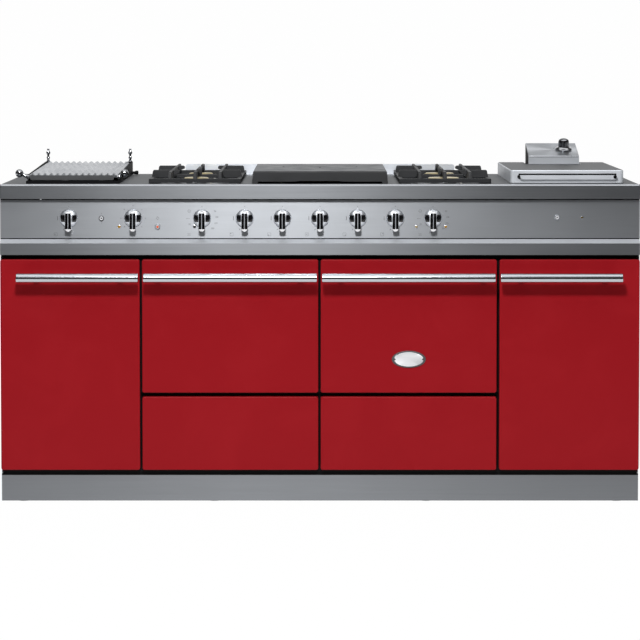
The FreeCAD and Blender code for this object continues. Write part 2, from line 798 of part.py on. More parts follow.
def grill_frame():
    """Black trough on the worktop that carries the ribbed plate and catches the fat."""
    x0, x1 = grill_middle - grill_half, grill_middle + grill_half
    y0, y1 = behind(grill_front), behind(grill_rear)
    top = height + grill_wall
    wall = block(x0, x1, y0, y1, height, top)
    room = block(x0 + side_wall, x1 - side_wall, y0 + 4, y1 - 4, height - 1, top + 1)
    tray = block(x0 + 12, x1 - 12, behind(62), behind(584), height - 22, height)
    tray_room = block(x0 + 14, x1 - 14, behind(64), behind(582), height - 20, height + 1)
    lip = block(x0, x1, y0, y1, height, height + metal)
    mouth = block(x0 + 14, x1 - 14, behind(64), behind(582), height - 1, height + 3)
    ledge = block(x0 + 18, x1 - 18, behind(64), behind(72), height - 20, top)
    parts = [cut(wall, [room]), cut(lip, [mouth]), cut(tray, [tray_room]), ledge]
    long = y1 - y0
    corners = [(0, 0), (long, 0), (long, side_high), (long - 20, side_high), (42, side_low),
               (41, grill_wall), (0, grill_wall)]
    for edge, corner in ((x0, x0), (x1 - side_wall, x1 - corner_wide)):
        cheek = profile("YZ_Plane", corners, side_wall)
        parts.append(place(cheek, edge, y0, height))
        parts.append(block(corner, corner + corner_wide, y1 - 10, y1, height, height + side_high))
    bore = rod("x", x0 - 1, behind(pivot_back), pivot_height, pivot_radius + running_gap,
               grill_half * 2 + 2)
    pipe_hole = rod("z", grill_middle, behind(112), height - 30, pipe_radius + 1, 12)
    node("grill_frame", cut(fuse(parts), [bore, pipe_hole]))


def grill_posts():
    """Turned posts at the back corners of the grill."""
    posts = []
    for side in SIDES.values():
        x, y = grill_middle + post_side * side, behind(post_back)
        base = height + side_high
        posts.append(fuse([
            rod("z", x, y, base, 5.5, 3),
            rod("z", x, y, base + 3, 3.5, 9),
            ball(x, y, base + 17, 6.5),
            rod("z", x, y, base + 22, 3, 8),
            rod("z", x, y, base + 30, 5, 9),
        ]))
    node("grill_posts", group(posts))


def grill_plate():
    """Ribbed plate that falls towards the front, and turns up about the rod at its back."""
    x0, x1 = grill_middle - plate_half, grill_middle + plate_half
    y0, y1 = behind(plate_front), behind(plate_rear)
    low, top = pivot_height + plate_under, pivot_height + plate_over
    lip = panel(grill_middle - 121.5, grill_middle + 115.5, y0, y0 + 8, top - 14, top, 5)
    parts = [block(x0, x1, y0, y1, low, top), lip]
    for number in range(14):
        rib = doc.addObject("Part::Wedge", "Rib")
        bind(rib, {"Xmin": 0, "Xmax": rib_pitch, "X2min": (rib_pitch - rib_crest) / 2,
                   "X2max": (rib_pitch + rib_crest) / 2, "Ymin": 0, "Ymax": rib_high,
                   "Zmin": 0, "Zmax": y1 - y0, "Z2min": 1, "Z2max": y1 - y0 - 12})
        x = grill_middle + rib_pitch * (number - 7)
        parts.append(place(rib, x, y1, top, FreeCAD.Rotation(X_AXIS, 90)))
    for side in SIDES.values():
        ear_x = grill_middle + 110 * side
        parts.append(block(ear_x - 5, ear_x + 5, behind(pivot_back - 9), behind(pivot_back + 8),
                           pivot_height - 7, low + 2))
    bore = rod("x", x0 - 5, behind(pivot_back), pivot_height, pivot_radius + running_gap,
               plate_half * 2 + 10)
    plate = cut(fuse(parts), [bore])
    tilt(plate)
    node("grill_plate", plate)
    knobs = []
    for name, side in SIDES.items():
        foot = (grill_middle + plate_half * side, y0 + 9, top - 7)
        tip = (grill_middle + LIFT_REACH[name] * side, y0 + 9, top + 5)
        stem = strut(foot, tip, 8, 4.5)
        grip = fuse([stem, ball(*tip, lift_ball_radius, stem.Placement.Rotation)])
        knobs.append(cut(grip, [block(x0, x1, y0, y0 + 20, low - 20, top + 20)]))
    balls = group(knobs)
    tilt(balls)
    node("grill_lift_balls", balls)


def tilt(thing):
    """Lean a piece of the plate forward about the axis of its rod."""
    pivot = FreeCAD.Vector(0, behind(pivot_back).value, pivot_height.value)
    lean = FreeCAD.Rotation(X_AXIS, plate_tilt.value)
    thing.Placement = FreeCAD.Placement(FreeCAD.Vector(), lean, pivot)


def fryer_tank():
    rim = block(lid_left, lid_right, behind(lid_front), behind(lid_rear),
                height, height + metal)
    pot = block(tank_left, tank_right, behind(tank_front), behind(tank_rear),
                tank_bottom, height + metal)
    room = block(tank_left + metal, tank_right - metal, behind(tank_front) + metal,
                 behind(tank_rear) - metal, tank_bottom + metal, height + 5)
    node("fryer_tank", cut(fuse([rim, pot]), [room]))


def fryer_head():
    """Control head at the back of the fryer, with a sloping top and an open underside."""
    deep = head_rear - head_front
    low = head_low - height - metal
    high = head_high - height - metal
    corners = [(0, 0), (deep, 0), (deep, high), (0, low)]
    shell = profile("YZ_Plane", corners, head_right - head_left)
    place(shell, head_left, behind(head_front), height + metal)
    room = block(head_left + metal, head_right - metal, behind(head_front) + metal,
                 behind(head_rear) - metal, height + 1, head_low - metal)
    hole = doc.addObject("Part::Cylinder", "Rod")
    bind(hole, {"Radius": shaft_radius + 0.3, "Height": 50})
    place(hole, head_knob_x, fryer_point(-40)[0], fryer_point(-40)[1], fryer_turn)
    node("fryer_head", cut(shell, [room, hole]))


def fryer_lid():
    """Shallow lid with a notch round the control head, and a wire handle on its front."""
    low = height + metal
    top = height + lid_high
    outside = slab(lid_left, lid_right, behind(lid_front), behind(lid_rear), low, top, 10)
    room = block(lid_left + metal, lid_right - metal, behind(lid_front) + metal,
                 behind(lid_rear) - metal, low - 1, top - metal)
    notch = block(head_left - 5, head_right + 5, behind(head_front - 5), behind(lid_rear + 1),
                  low - 1, top + 1)
    node("fryer_lid", cut(outside, [room, notch]))
    x0, x1, y = 562, 834, behind(lid_wire_back)
    parts = [rod("x", x0, y, lid_wire_height, lid_wire, x1 - x0)]
    for x in (x0, x1):
        foot = (x, behind(lid_front - 2), lid_foot_height)
        parts.append(strut((x, y, lid_wire_height), foot, 3.2, 3.2))
        parts.append(ball(x, y, lid_wire_height, 3.2))
        parts.append(rod("y", x, behind(lid_front - 3), lid_foot_height, 6, 3))
    node("fryer_lid_handle", fuse(parts))


def fryer_knob():
    bore = shaft_radius + running_gap
    y, z = fryer_point(1.5)
    points = [(bore, 0), (25, 0), (25, 2.5), (18, 5.5), (15.5, 8), (15.5, 25), (13, 29),
              (8, 31.5), (0, 32.5), (0, 12), (bore, 12)]
    node("fryer_knob", turned(points, head_knob_x, y, z, fryer_turn))


def finger(axis, start, end, across, noses):
    """A cast finger along one axis, whose underside rises to a thin nose at a burner."""
    long, rise = end - start, finger_top - finger_under
    nose = rise - finger_nose
    points = [(0, nose), (finger_ramp, 0)] if noses[0] else [(0, 0)]
    points += [(long - finger_ramp, 0), (long, nose)] if noses[1] else [(long, 0)]
    points += [(long, rise), (0, rise)]
    if axis == "y":
        body = profile("YZ_Plane", points, finger_thick)
        return place(body, across - finger_thick / 2, start, height + finger_under)
    body = profile("XZ_Plane", points, finger_thick)
    return place(body, start, across + finger_thick / 2, height + finger_under)


def grate(name, side):
    """Cast grate: a frame on pads, with fingers towards the middle of each burner."""
    x0, x1 = span(side, grate_inner, grate_outer)
    y0, y1 = behind(grate_front), behind(grate_rear)
    middle = (x0 + x1) / 2
    low, rail_top = height + 2, height + rail_high
    bar, chamfer = 12, 6
    wide, tall = x1 - x0, rail_top - low
    corners = [(0, 0), (wide, 0), (wide, tall - chamfer), (wide - chamfer, tall),
               (chamfer, tall), (0, tall - chamfer)]
    parts = [
        place(profile("XZ_Plane", corners, bar), x0, y0 + bar, low),
        place(profile("XZ_Plane", corners, bar), x0, y1, low),
        block(x0, x0 + bar, y0 + chamfer, y1 - chamfer, low, rail_top),
        block(x1 - bar, x1, y0 + chamfer, y1 - chamfer, low, rail_top),
    ]
    first, last = behind(burner_front), behind(burner_rear)
    centre = (first + last) / 2
    parts.append(block(x0, x1, centre - 6, centre + 6, low, rail_top))
    for offset in (-71, 71):
        parts.append(block(middle + offset - 6, middle + offset + 6, y0, y1,
                           height + finger_under, height + finger_top))
    for y in (first, last):
        parts.append(finger("x", x0, middle - 49.5, y, (False, True)))
        parts.append(finger("x", middle + 49.5, x1, y, (True, False)))
    for start, end, noses in ((y0, first - 50, (False, True)),
                              (first + 46, last - 46, (True, True)),
                              (last + 46, y1, (True, False))):
        parts.append(finger("y", start, end, middle, noses))
    for x in (x0, x1 - 36):
        for y in (y0, y1 - bar):
            parts.append(block(x, x + 36, y, y + bar, height + 1, low))
    notch = block(middle - 7, middle + 7, y0 - 1, y0 + bar + 1, low - 1, low + 3)
    node(f"{name}_grate", cut(fuse(parts), [notch]))


def simmer_plate():
    """Hollow cast plate with a long low slot along the foot of its front and back walls."""
    y0, y1 = behind(simmer_front), behind(simmer_rear)
    top = height + simmer_high
    outside = doc.addObject("Part::Wedge", "Plate")
    draft = 3
    bind(outside, {"Xmin": -simmer_half, "Xmax": simmer_half, "Zmin": 0, "Zmax": y1 - y0,
                   "Ymin": 0, "Ymax": simmer_high, "X2min": -simmer_half + draft,
                   "X2max": simmer_half - draft, "Z2min": draft, "Z2max": y1 - y0 - draft})
    place(outside, 0, y1, height, FreeCAD.Rotation(X_AXIS, 90))
    room = block(-simmer_half + 12, simmer_half - 12, y0 + 12, y1 - 12, height - 1, top - 12)
    slot = block(-simmer_half + 16, simmer_half - 16, y0 - 1, y1 + 1, height - 1, height + 5.7)
    arch = block(-67, 60, y0 - 1, y1 + 1, height - 1, height + 7.5)
    node("simmer_plate", cut(outside, [room, slot, arch]))


def knob(name):
    """Domed skirt with a bar grip whose tail hangs past the skirt."""
    x = knob_x[name]
    y = behind(panel_recess) - skirt_gap
    bore = shaft_radius + running_gap
    points = [(bore, 0), (skirt_radius, 0), (skirt_radius, 2.5), (skirt_radius - 3, 5.5),
              (skirt_radius - 11, 8), (bore, 8)]
    skirt = turned(points, x, y, knob_height, TURNS["-y"])
    narrow, broad = grip_top_width / 2, grip_low_width / 2
    corners = [(-broad, -grip_down), (broad, -grip_down), (narrow, grip_up), (-narrow, grip_up)]
    grip = profile("XY_Plane", corners, grip_height - 6, 5)
    place(grip, x, y - 6, knob_height, TURNS["-y"])
    shaft_room = rod("y", x, y - 11, knob_height, bore, 12)
    node(name, cut(fuse([skirt, grip]), [shaft_room]))


def button(name):
    """Sprung cap that slides in its ring, with a collar behind the panel that keeps it in."""
    x, z = button_x[name], BUTTONS[name][1]
    face = behind(panel_recess)
    cap = rod("y", x, face - 6.5, z, BUTTON_CAP, 20)
    collar = rod("y", x, face + stout_metal + 0.5, z, BUTTON_CAP + 2, 3)
    node(name, fuse([cap, collar]))


def door(label, x0, x1, z0, z1, bores):
    """Folded outer pan with an inner plate, and a bore for each hinge pin."""
    y0, y1 = front, front + door_thick
    outside = panel(x0, x1, y0, y1, z0, z1, door_radius)
    room = block(x0 + metal, x1 - metal, y0 + metal, y1 + 1, z0 + metal, z1 - metal)
    pan = cut(outside, [room] + bores)
    plate = block(x0 + metal, x1 - metal, y1 - 3, y1, z0 + metal, z1 - metal)
    node(label, group([pan, plate]))


def cabinet_door(name, side):
    x0, x1 = span(side, cabinet_edge, door_side)
    x, y = hinge_side * side, behind(hinge_back)
    radius = pin_radius + running_gap
    bores = [rod("z", x, y, door_top - 5, radius, 6), rod("z", x, y, door_bottom - 1, radius, 6)]
    door(f"{name}_cabinet_door", x0, x1, door_bottom, door_top, bores)


def oven_door(name, side):
    x0, x1 = span(side, inner_edge, oven_edge)
    y, z = behind(oven_hinge_back), oven_hinge_height
    radius = pin_radius + running_gap
    bores = [rod("x", x0 - 1, y, z, radius, 6), rod("x", x1 - 5, y, z, radius, 6)]
    door(f"{name}_oven_door", x0, x1, oven_door_bottom, door_top, bores)


def hinge_pins():
    """Small brackets on the frame with the pins that the doors and the ribbed plate turn on."""
    items = []
    y = behind(hinge_back)
    for side in SIDES.values():
        x = hinge_side * side
        upper = block(x - 3, x + 3, y - 4, behind(frame_face), door_top + 2, door_top + 5)
        lower = block(x - 3, x + 3, y - 4, behind(frame_face), door_bottom - 6, door_bottom - 3)
        items.append(fuse([upper, rod("z", x, y, door_top - 12, pin_radius, 16)]))
        items.append(fuse([lower, rod("z", x, y, door_bottom - 5, pin_radius, 17)]))
    y, z = behind(oven_hinge_back), oven_hinge_height
    for line in (-bay_line, length(0), bay_line):
        plate = block(line - 1.5, line + 1.5, y - 4, behind(frame_face), z - 4, z + 4)
        parts = [plate]
        if line.value <= 0:
            parts.append(rod("x", line, y, z, pin_radius, 14))
        if line.value >= 0:
            parts.append(rod("x", line - 14, y, z, pin_radius, 14))
        items.append(fuse(parts))
    left = grill_middle - grill_half - 6
    rod_long = 2 * grill_half + 24
    axle = rod("x", left, behind(pivot_back), pivot_height, pivot_radius, rod_long)
    cap = rod("x", grill_middle + grill_half + 11, behind(pivot_back), pivot_height, 6, 8)
    items.append(fuse([axle, cap]))
    node("hinge_pins", group(items))


def handle(name, x0, x1, posts):
    """Round bar held off the door by two posts."""
    y = behind(-(handle_reach - bar_radius))
    bar = rod("x", x0, y, bar_height, bar_radius, length(x1) - x0)
    parts = [bar]
    for x in posts:
        parts.append(rod("y", x, y, bar_height, post_radius, handle_reach - bar_radius))
    node(name, fuse(parts))


def handles():
    for name, side in SIDES.items():
        cabinet = span(side, cabinet_edge + 2.5, 850)
        posts = (length(560) * side, length(794) * side)
        handle(f"{name}_cabinet_handle", *cabinet, posts)
        oven = span(side, 6, 494)
        posts = (length(56) * side, length(455) * side)
        handle(f"{name}_oven_handle", *oven, posts)


def badge():
    """Bare oval plate with a rivet at each end."""
    x, z = 250, 407
    rim = doc.addObject("Part::Ellipse", "Rim")
    bind(rim, {"MajorRadius": 48, "MinorRadius": 24})
    place(rim, x, front, z, TURNS["-y"])
    plate = doc.addObject("Part::Extrusion", "Plate")
    plate.Base = rim
    plate.DirMode = "Custom"
    plate.Dir = FreeCAD.Vector(0, -1, 0)
    plate.LengthFwd = 3
    plate.Solid = True
    rivets = [rod("y", x + 41 * side, front - 4, z, 2.5, 2) for side in (-1, 1)]
    node("badge", fuse([plate] + rivets))


def drawer(name, side):
    """Front panel, open box and the rails that ride on the runners."""
    x0, x1 = span(side, inner_edge, oven_edge)
    y1 = front + door_thick
    outside = panel(x0, x1, front, y1, door_bottom, drawer_top, door_radius)
    room = block(x0 + metal, x1 - metal, front + metal, y1 - metal, door_bottom + metal,
                 drawer_top - metal)
    face = cut(outside, [room])
    b0, b1 = span(side, drawer_inner, drawer_outer)
    tub = block(b0, b1, y1, behind(drawer_reach), drawer_floor, drawer_rim)
    space = block(b0 + metal, b1 - metal, y1 + metal, behind(drawer_reach) - metal,
                  drawer_floor + metal, drawer_rim + 1)
    rails = []
    for edge in (b0 - 14, b1):
        rails.append(block(edge, edge + 14, y1 + 30, behind(drawer_reach), 158.4, 166))
    node(f"{name}_drawer", group([face, fuse([cut(tub, [space])] + rails)]))


def drawer_runners():
    runners = []
    for side in SIDES.values():
        inner = span(side, divider_half, 30)
        outer = span(side, 473, bay_line - divider_half)
        for x0, x1 in (inner, outer):
            runners.append(block(x0, x1, behind(frame_back), behind(drawer_reach), 150, 158))
    node("drawer_runners", group(runners))


def oven_door_seals():
    seals = []
    y0, y1 = behind(door_thick) + 0.4, behind(frame_face)
    for side in SIDES.values():
        x0, x1 = span(side, mouth_inner, mouth_outer)
        outside = block(x0 - 7, x1 + 7, y0, y1, mouth_bottom - 7, mouth_top + 7)
        inside = block(x0 - 1, x1 + 1, y0 - 1, y1 + 1, mouth_bottom - 1, mouth_top + 1)
        seals.append(cut(outside, [inside]))
    node("oven_door_seals", group(seals))


def build():
    plinth()
    adjustable_feet()
    chassis()
    side_panels()
    front_frame()
    worktop()
    rear_upstand()
    control_panel()
    lower_rail()
    cupboard_shelves()
    oven_racks()
    oven_fans()
    heating_elements()
    indicator_lamps()
    burner_trays()
    burners()
    gas_manifold()
    gas_taps()
    thermostats()
    grill_frame()
    grill_posts()
    grill_plate()
    fryer_tank()
    fryer_head()
    fryer_lid()
    fryer_knob()
    simmer_plate()
    hinge_pins()
    handles()
    badge()
    drawer_runners()
    oven_door_seals()
    for name, side in SIDES.items():
        oven_cavity(name, side)
        grate(name, side)
        cabinet_door(name, side)
        oven_door(name, side)
        drawer(name, side)
    for name in knob_x:
        knob(name)
    for name in button_x:
        button(name)


build()
doc.recompute()
for thing in doc.Objects:
    if "Invalid" in thing.State or "Error" in thing.State:
        raise RuntimeError(f"{thing.Label} ({thing.Name}) failed: {thing.State}")
for thing in nodes:
    if thing.Shape.isNull() or not thing.Shape.isValid() or not thing.Shape.Solids:
        raise RuntimeError(f"{thing.Label} has no valid solid")

os.makedirs("parts", exist_ok=True)
for thing in nodes:
    thing.Shape.exportStep(f"parts/{thing.Label}.step")
print(len(nodes), "sub-parts")
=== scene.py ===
"""Range cooker: the detailed pieces, finishes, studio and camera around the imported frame."""
import json
import math

import bmesh
import bpy
from mathutils import Matrix, Vector


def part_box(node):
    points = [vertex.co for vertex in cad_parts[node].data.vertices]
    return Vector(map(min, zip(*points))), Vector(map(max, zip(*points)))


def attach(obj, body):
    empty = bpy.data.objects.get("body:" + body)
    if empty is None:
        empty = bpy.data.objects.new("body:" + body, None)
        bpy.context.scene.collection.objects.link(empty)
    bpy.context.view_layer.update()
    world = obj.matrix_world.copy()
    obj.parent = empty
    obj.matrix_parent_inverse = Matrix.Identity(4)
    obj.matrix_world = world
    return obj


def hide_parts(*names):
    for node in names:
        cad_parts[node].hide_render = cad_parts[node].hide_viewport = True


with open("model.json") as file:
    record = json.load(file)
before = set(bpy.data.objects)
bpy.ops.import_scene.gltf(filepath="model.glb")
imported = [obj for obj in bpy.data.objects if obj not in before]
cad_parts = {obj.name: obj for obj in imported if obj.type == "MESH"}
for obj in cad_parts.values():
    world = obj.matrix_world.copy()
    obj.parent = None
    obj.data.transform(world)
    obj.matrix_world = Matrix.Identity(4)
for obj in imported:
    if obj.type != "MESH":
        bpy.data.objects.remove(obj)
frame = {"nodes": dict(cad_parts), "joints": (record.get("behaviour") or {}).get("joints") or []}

bl_info = {
    "name": "Range Cooker",
    "version": (1, 0, 0),
    "blender": (4, 5, 0),
    "location": "View3D > Sidebar > Cooker",
    "description": "Builds the visible pieces of a wide range cooker around its frame",
    "category": "Add Mesh",
}

BOX = {name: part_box(name) for name in frame["nodes"]}
JOINTS = {joint["child"]: joint for joint in frame["joints"]}
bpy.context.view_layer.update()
SIDES = {"left": -1, "right": 1}
FRONT_Y = BOX["lower_rail"][0].y
PANEL_Y = BOX["control_panel"][0].y
DOOR_BACK_Y = BOX["left_oven_door"][1].y
TOP_Z = BOX["worktop"][1].z
GRILL_X = (BOX["grill_frame"][0].x + BOX["grill_frame"][1].x) / 2
BURNERS_Y = (FRONT_Y + 0.180, FRONT_Y + 0.474)
KNOB_DROP = 0.025
SMOOTH_ANGLE = math.radians(35)
QUARTER = math.pi / 2
NEAR, WELD = 1e-5, 1e-6
# How far the left, right and top edges of each front move from its node's box, as in the picture.
FRONT_TRIM = {
    "left_cabinet_door": (0, -0.0011, -0.0017), "right_cabinet_door": (-0.0012, 0, -0.0017),
    "left_oven_door": (-0.0009, -0.0015, -0.0017), "right_oven_door": (-0.0015, -0.0025, -0.0017),
    "left_drawer": (-0.0009, -0.0015, -0.0013), "right_drawer": (-0.0015, -0.0025, -0.0013)}
# The same for the left and right end of each handle.
HANDLE_TRIM = {"left_cabinet": (0.0007, 0.0004), "right_cabinet": (-0.0043, -0.0036),
               "left_oven": (-0.0007, -0.0025), "right_oven": (-0.0008, -0.0033)}
TAP_KNOBS = ("grill_knob", "left_rear_knob", "left_front_knob", "simmer_knob",
             "right_front_knob", "right_rear_knob")
OVEN_KNOBS = ("left_oven_knob", "right_oven_knob")
BUTTONS = ("grill_spark_button", "fan_button", "fryer_button")


def tint(name, description, default):
    return bpy.props.FloatVectorProperty(name=name, description=description, subtype="COLOR",
                                         size=3, min=0, max=1, default=default)


def length(name, description, least, most, default):
    return bpy.props.FloatProperty(name=name, description=description, unit="LENGTH",
                                   min=least, max=most, default=default)


class CookerFinish(bpy.types.PropertyGroup):
    """Colours of the cooker's finishes."""

    enamel: tint("Enamel", "Colour of the doors and drawers", (0.298, 0.007, 0.0118))
    steel: tint("Steel", "Tone of the brushed steel", (0.47, 0.49, 0.52))
    iron: tint("Iron", "Tone of the cast grates and simmer plate", (0.022, 0.023, 0.025))
    brass: tint("Brass", "Colour of the burner caps", (0.62, 0.52, 0.27))
    mark: tint("Marks", "Colour of the printed dial marks", (0.09, 0.09, 0.1))


class CookerSizes(bpy.types.PropertyGroup):
    """Sizes of the details that the frame leaves plain."""

    corner: length("Door corner", "Radius of a door's corners seen from the front",
                   0.001, 0.02, 0.006)
    door_edge: length("Door edge", "Rounding of a door's front edge", 0.0005, 0.006, 0.0028)
    iron_edge: length("Casting edge", "Rounding of the cast bars", 0.0005, 0.004, 0.0016)
    sheet: length("Sheet", "Thickness of folded sheet metal", 0.0005, 0.004, 0.002)


class CookerStudio(bpy.types.PropertyGroup):
    """Where the camera stands and what it shows."""

    distance: length("Distance", "From the lens to the cooker's front plane", 2, 20, 7.5)
    eye: length("Eye height", "Height of the lens above the floor", 0.5, 2.5, 1.27)
    frame_width: length("Frame width", "Width that the picture shows at the front plane",
                        1, 4, 1.803)
    aim: length("Aim height", "Height on the front plane at the picture's middle", 0, 1.5, 0.518)
    rise: bpy.props.FloatProperty(
        name="Lens rise", description="Vertical shift of the lens, as a share of the width",
        min=-0.5, max=0.5, default=-0.21)


# The materials and node groups that have been made, by name.
FINISHES = {}
GROUPS = {}


def add_node(tree, kind, values=None, **settings):
    """Add a shader node, with plain values or links for its inputs."""
    made = tree.nodes.new(kind)
    for key, value in settings.items():
        setattr(made, key, value)
    for key, value in (values or {}).items():
        if isinstance(value, bpy.types.NodeSocket):
            tree.links.new(value, made.inputs[key])
        else:
            made.inputs[key].default_value = value
    return made


def feed(tree, inputs, **sources):
    """Link a source to each input named. An underscore stands for a space."""
    for label, source in sources.items():
        tree.links.new(source, inputs[label.replace("_", " ")])


def noise(tree, place, scale, detail=2.0, **more):
    values = {"Vector": place, "Scale": scale, "Detail": detail, **more}
    return add_node(tree, "ShaderNodeTexNoise", values).outputs["Fac"]


def span(tree, value, low=0.0, high=1.0, to_low=0.0, to_high=1.0):
    """Stretch one range of values over another one."""
    values = {0: value, 1: low, 2: high, 3: to_low, 4: to_high}
    return add_node(tree, "ShaderNodeMapRange", values).outputs[0]


def times_plus(tree, value, factor, offset):
    values = {0: value, 1: factor, 2: offset}
    return add_node(tree, "ShaderNodeMath", values, operation="MULTIPLY_ADD").outputs[0]


def scaled(tree, tone, factor):
    values = {0: tone, 3: factor}
    return add_node(tree, "ShaderNodeVectorMath", values, operation="SCALE").outputs[0]


def mixed(tree, share, near, far):
    """A blend of two colours."""
    values = {0: share, 6: (*near, 1), 7: (*far, 1)}
    return add_node(tree, "ShaderNodeMix", values, data_type="RGBA").outputs[2]


def relief(tree, height, strength, distance):
    values = {"Height": height, "Strength": strength, "Distance": distance}
    return add_node(tree, "ShaderNodeBump", values).outputs["Normal"]


def start_group(name, inputs, outputs):
    """A node group. The length of an input's first value says what kind it is."""
    tree = bpy.data.node_groups.new(name, "ShaderNodeTree")
    kinds = {1: "NodeSocketFloat", 3: "NodeSocketVector", 4: "NodeSocketColor"}
    for label, value in inputs.items():
        kind = kinds[len(value) if isinstance(value, tuple) else 1]
        socket = tree.interface.new_socket(name=label, in_out="INPUT", socket_type=kind)
        socket.default_value = value
    for label in outputs:
        kind = kinds[4 if label == "Color" else 1]
        tree.interface.new_socket(name=label, in_out="OUTPUT", socket_type=kind)
    given, made = tree.nodes.new("NodeGroupInput"), tree.nodes.new("NodeGroupOutput")
    return tree, given.outputs, made.inputs


def brushing_group():
    """Fine parallel scratches along X, with broad soft patches of tone."""
    tree, given, made = start_group(
        "Brushing",
        {"Vector": (0, 0, 0), "Tone": (0.5, 0.5, 0.5, 1), "Fineness": 900, "Stretch": 6,
         "Contrast": 0.12, "Roughness": 0.3, "Spread": 0.08}, ("Color", "Roughness", "Height"))
    scale = add_node(tree, "ShaderNodeCombineXYZ", {
        0: given["Stretch"], 1: given["Fineness"], 2: given["Fineness"]})
    along = add_node(tree, "ShaderNodeVectorMath", {
        0: given["Vector"], 1: scale.outputs[0]}, operation="MULTIPLY")
    lines = noise(tree, along.outputs[0], 1.0, 3.0, Roughness=0.6)
    patches = noise(tree, given["Vector"], 5.0)
    blend = add_node(tree, "ShaderNodeMix", {0: 0.25, 2: lines, 3: patches}, data_type="FLOAT")
    swing = span(tree, blend.outputs[0], 0.3, 0.7, -0.5, 0.5)
    contrast = times_plus(tree, swing, given["Contrast"], 1.0)
    feed(tree, made, Color=scaled(tree, given["Tone"], contrast), Height=lines,
         Roughness=times_plus(tree, swing, given["Spread"], given["Roughness"]))
    return tree


def casting_group():
    """Grainy skin of a casting: fine pits over slow waves."""
    tree, given, made = start_group(
        "Casting skin",
        {"Vector": (0, 0, 0), "Tone": (0.1, 0.1, 0.1, 1), "Grain": 700, "Contrast": 0.3,
         "Roughness": 0.5}, ("Color", "Roughness", "Height"))
    pits = noise(tree, given["Vector"], given["Grain"], 4.0, Roughness=0.65)
    waves = noise(tree, given["Vector"], 22.0)
    swing = add_node(tree, "ShaderNodeMath", {0: waves, 1: 0.5}, operation="SUBTRACT").outputs[0]
    height = add_node(tree, "ShaderNodeMath", {0: pits, 1: waves}, operation="ADD").outputs[0]
    contrast = times_plus(tree, swing, given["Contrast"], 1.0)
    feed(tree, made, Color=scaled(tree, given["Tone"], contrast), Height=height,
         Roughness=times_plus(tree, swing, 0.35, given["Roughness"]))
    return tree


def handling_group():
    """Faint smears and dust that dull a polished or enamelled surface in places."""
    tree, given, made = start_group(
        "Handling", {"Vector": (0, 0, 0), "Scale": 9, "Roughness": 0.1, "Smear": 0.06},
        ("Roughness", "Height", "Mask"))
    smear = noise(tree, given["Vector"], given["Scale"], 5.0, Roughness=0.6, Distortion=0.8)
    mask = span(tree, smear, 0.45, 0.75)
    feed(tree, made, Mask=mask, Height=noise(tree, given["Vector"], 160.0, 1.0),
         Roughness=times_plus(tree, mask, given["Smear"], given["Roughness"]))
    return tree


def effect(tree, name, place, **values):
    """Place a shared effect, made at its first use, with this material's values."""
    makers = {"Brushing": brushing_group, "Casting skin": casting_group,
              "Handling": handling_group}
    if name not in GROUPS:
        GROUPS[name] = makers[name]()
    made = add_node(tree, "ShaderNodeGroup")
    made.node_tree = GROUPS[name]
    tree.links.new(place, made.inputs["Vector"])
    for label, value in values.items():
        made.inputs[label].default_value = value
    return made.outputs


def start_material(name, **sockets):
    """A material with its shader and the object's own coordinates."""
    material = bpy.data.materials.new(name)
    material.use_nodes = True
    tree = material.node_tree
    shader = tree.nodes["Principled BSDF"]
    for label, value in sockets.items():
        shader.inputs[label.replace("_", " ")].default_value = value
    place = add_node(tree, "ShaderNodeTexCoord").outputs["Object"]
    return material, tree, shader, place


def brushed_steel(name, tone, turn=(0, 0, 0), rough=0.33, contrast=0.08, spread=0.78, bump=0.05):
    """Steel with fine scratches along X, which draw a reflection out across them."""
    material, tree, shader, place = start_material(
        name, Metallic=1.0, Anisotropic=spread, Anisotropic_Rotation=0.25)
    turned = add_node(tree, "ShaderNodeMapping", {"Vector": place, "Rotation": turn}).outputs[0]
    made = effect(tree, "Brushing", turned, Tone=(*tone, 1), Roughness=rough, Contrast=contrast,
                  Spread=0.04, Stretch=5.0)
    feed(tree, shader.inputs, Base_Color=made["Color"], Roughness=made["Roughness"],
         Normal=relief(tree, made["Height"], bump, 0.0002))
    return material


def chrome(name, tone, rough):
    material, tree, shader, place = start_material(name, Base_Color=(*tone, 1), Metallic=1.0)
    made = effect(tree, "Handling", place, Scale=30.0, Roughness=rough, Smear=0.05)
    feed(tree, shader.inputs, Roughness=made["Roughness"])
    return material


def enamel(name, tone, rough, shine=0.5):
    """Fired enamel with a slight orange peel."""
    material, tree, shader, place = start_material(name, Specular_IOR_Level=shine)
    made = effect(tree, "Handling", place, Scale=6.0, Roughness=rough, Smear=0.05)
    smeared = [channel * 1.06 + 0.001 for channel in tone]
    feed(tree, shader.inputs, Base_Color=mixed(tree, made["Mask"], tone, smeared),
         Roughness=made["Roughness"], Normal=relief(tree, made["Height"], 0.05, 0.0003))
    return material


def casting(name, tone, rough, metallic, grain=700.0, bump=0.35, contrast=0.3, shine=0.5,
            depth=0.0006):
    """Cast, pressed or moulded stuff with a fine grain."""
    material, tree, shader, place = start_material(
        name, Metallic=metallic, Specular_IOR_Level=shine)
    made = effect(tree, "Casting skin", place, Tone=(*tone, 1), Roughness=rough, Grain=grain,
                  Contrast=contrast)
    feed(tree, shader.inputs, Base_Color=made["Color"], Roughness=made["Roughness"],
         Normal=relief(tree, made["Height"], bump, depth))
    return material


def speckled_enamel(name, tone):
    """Dark oven enamel with pale specks."""
    material, tree, shader, place = start_material(name, Roughness=0.18)
    specks = noise(tree, place, 420.0, Roughness=0.7)
    mask = span(tree, specks, 0.66, 0.72)
    feed(tree, shader.inputs, Base_Color=mixed(tree, mask, tone, (0.3, 0.32, 0.35)),
         Normal=relief(tree, specks, 0.08, 0.0004))
    return material


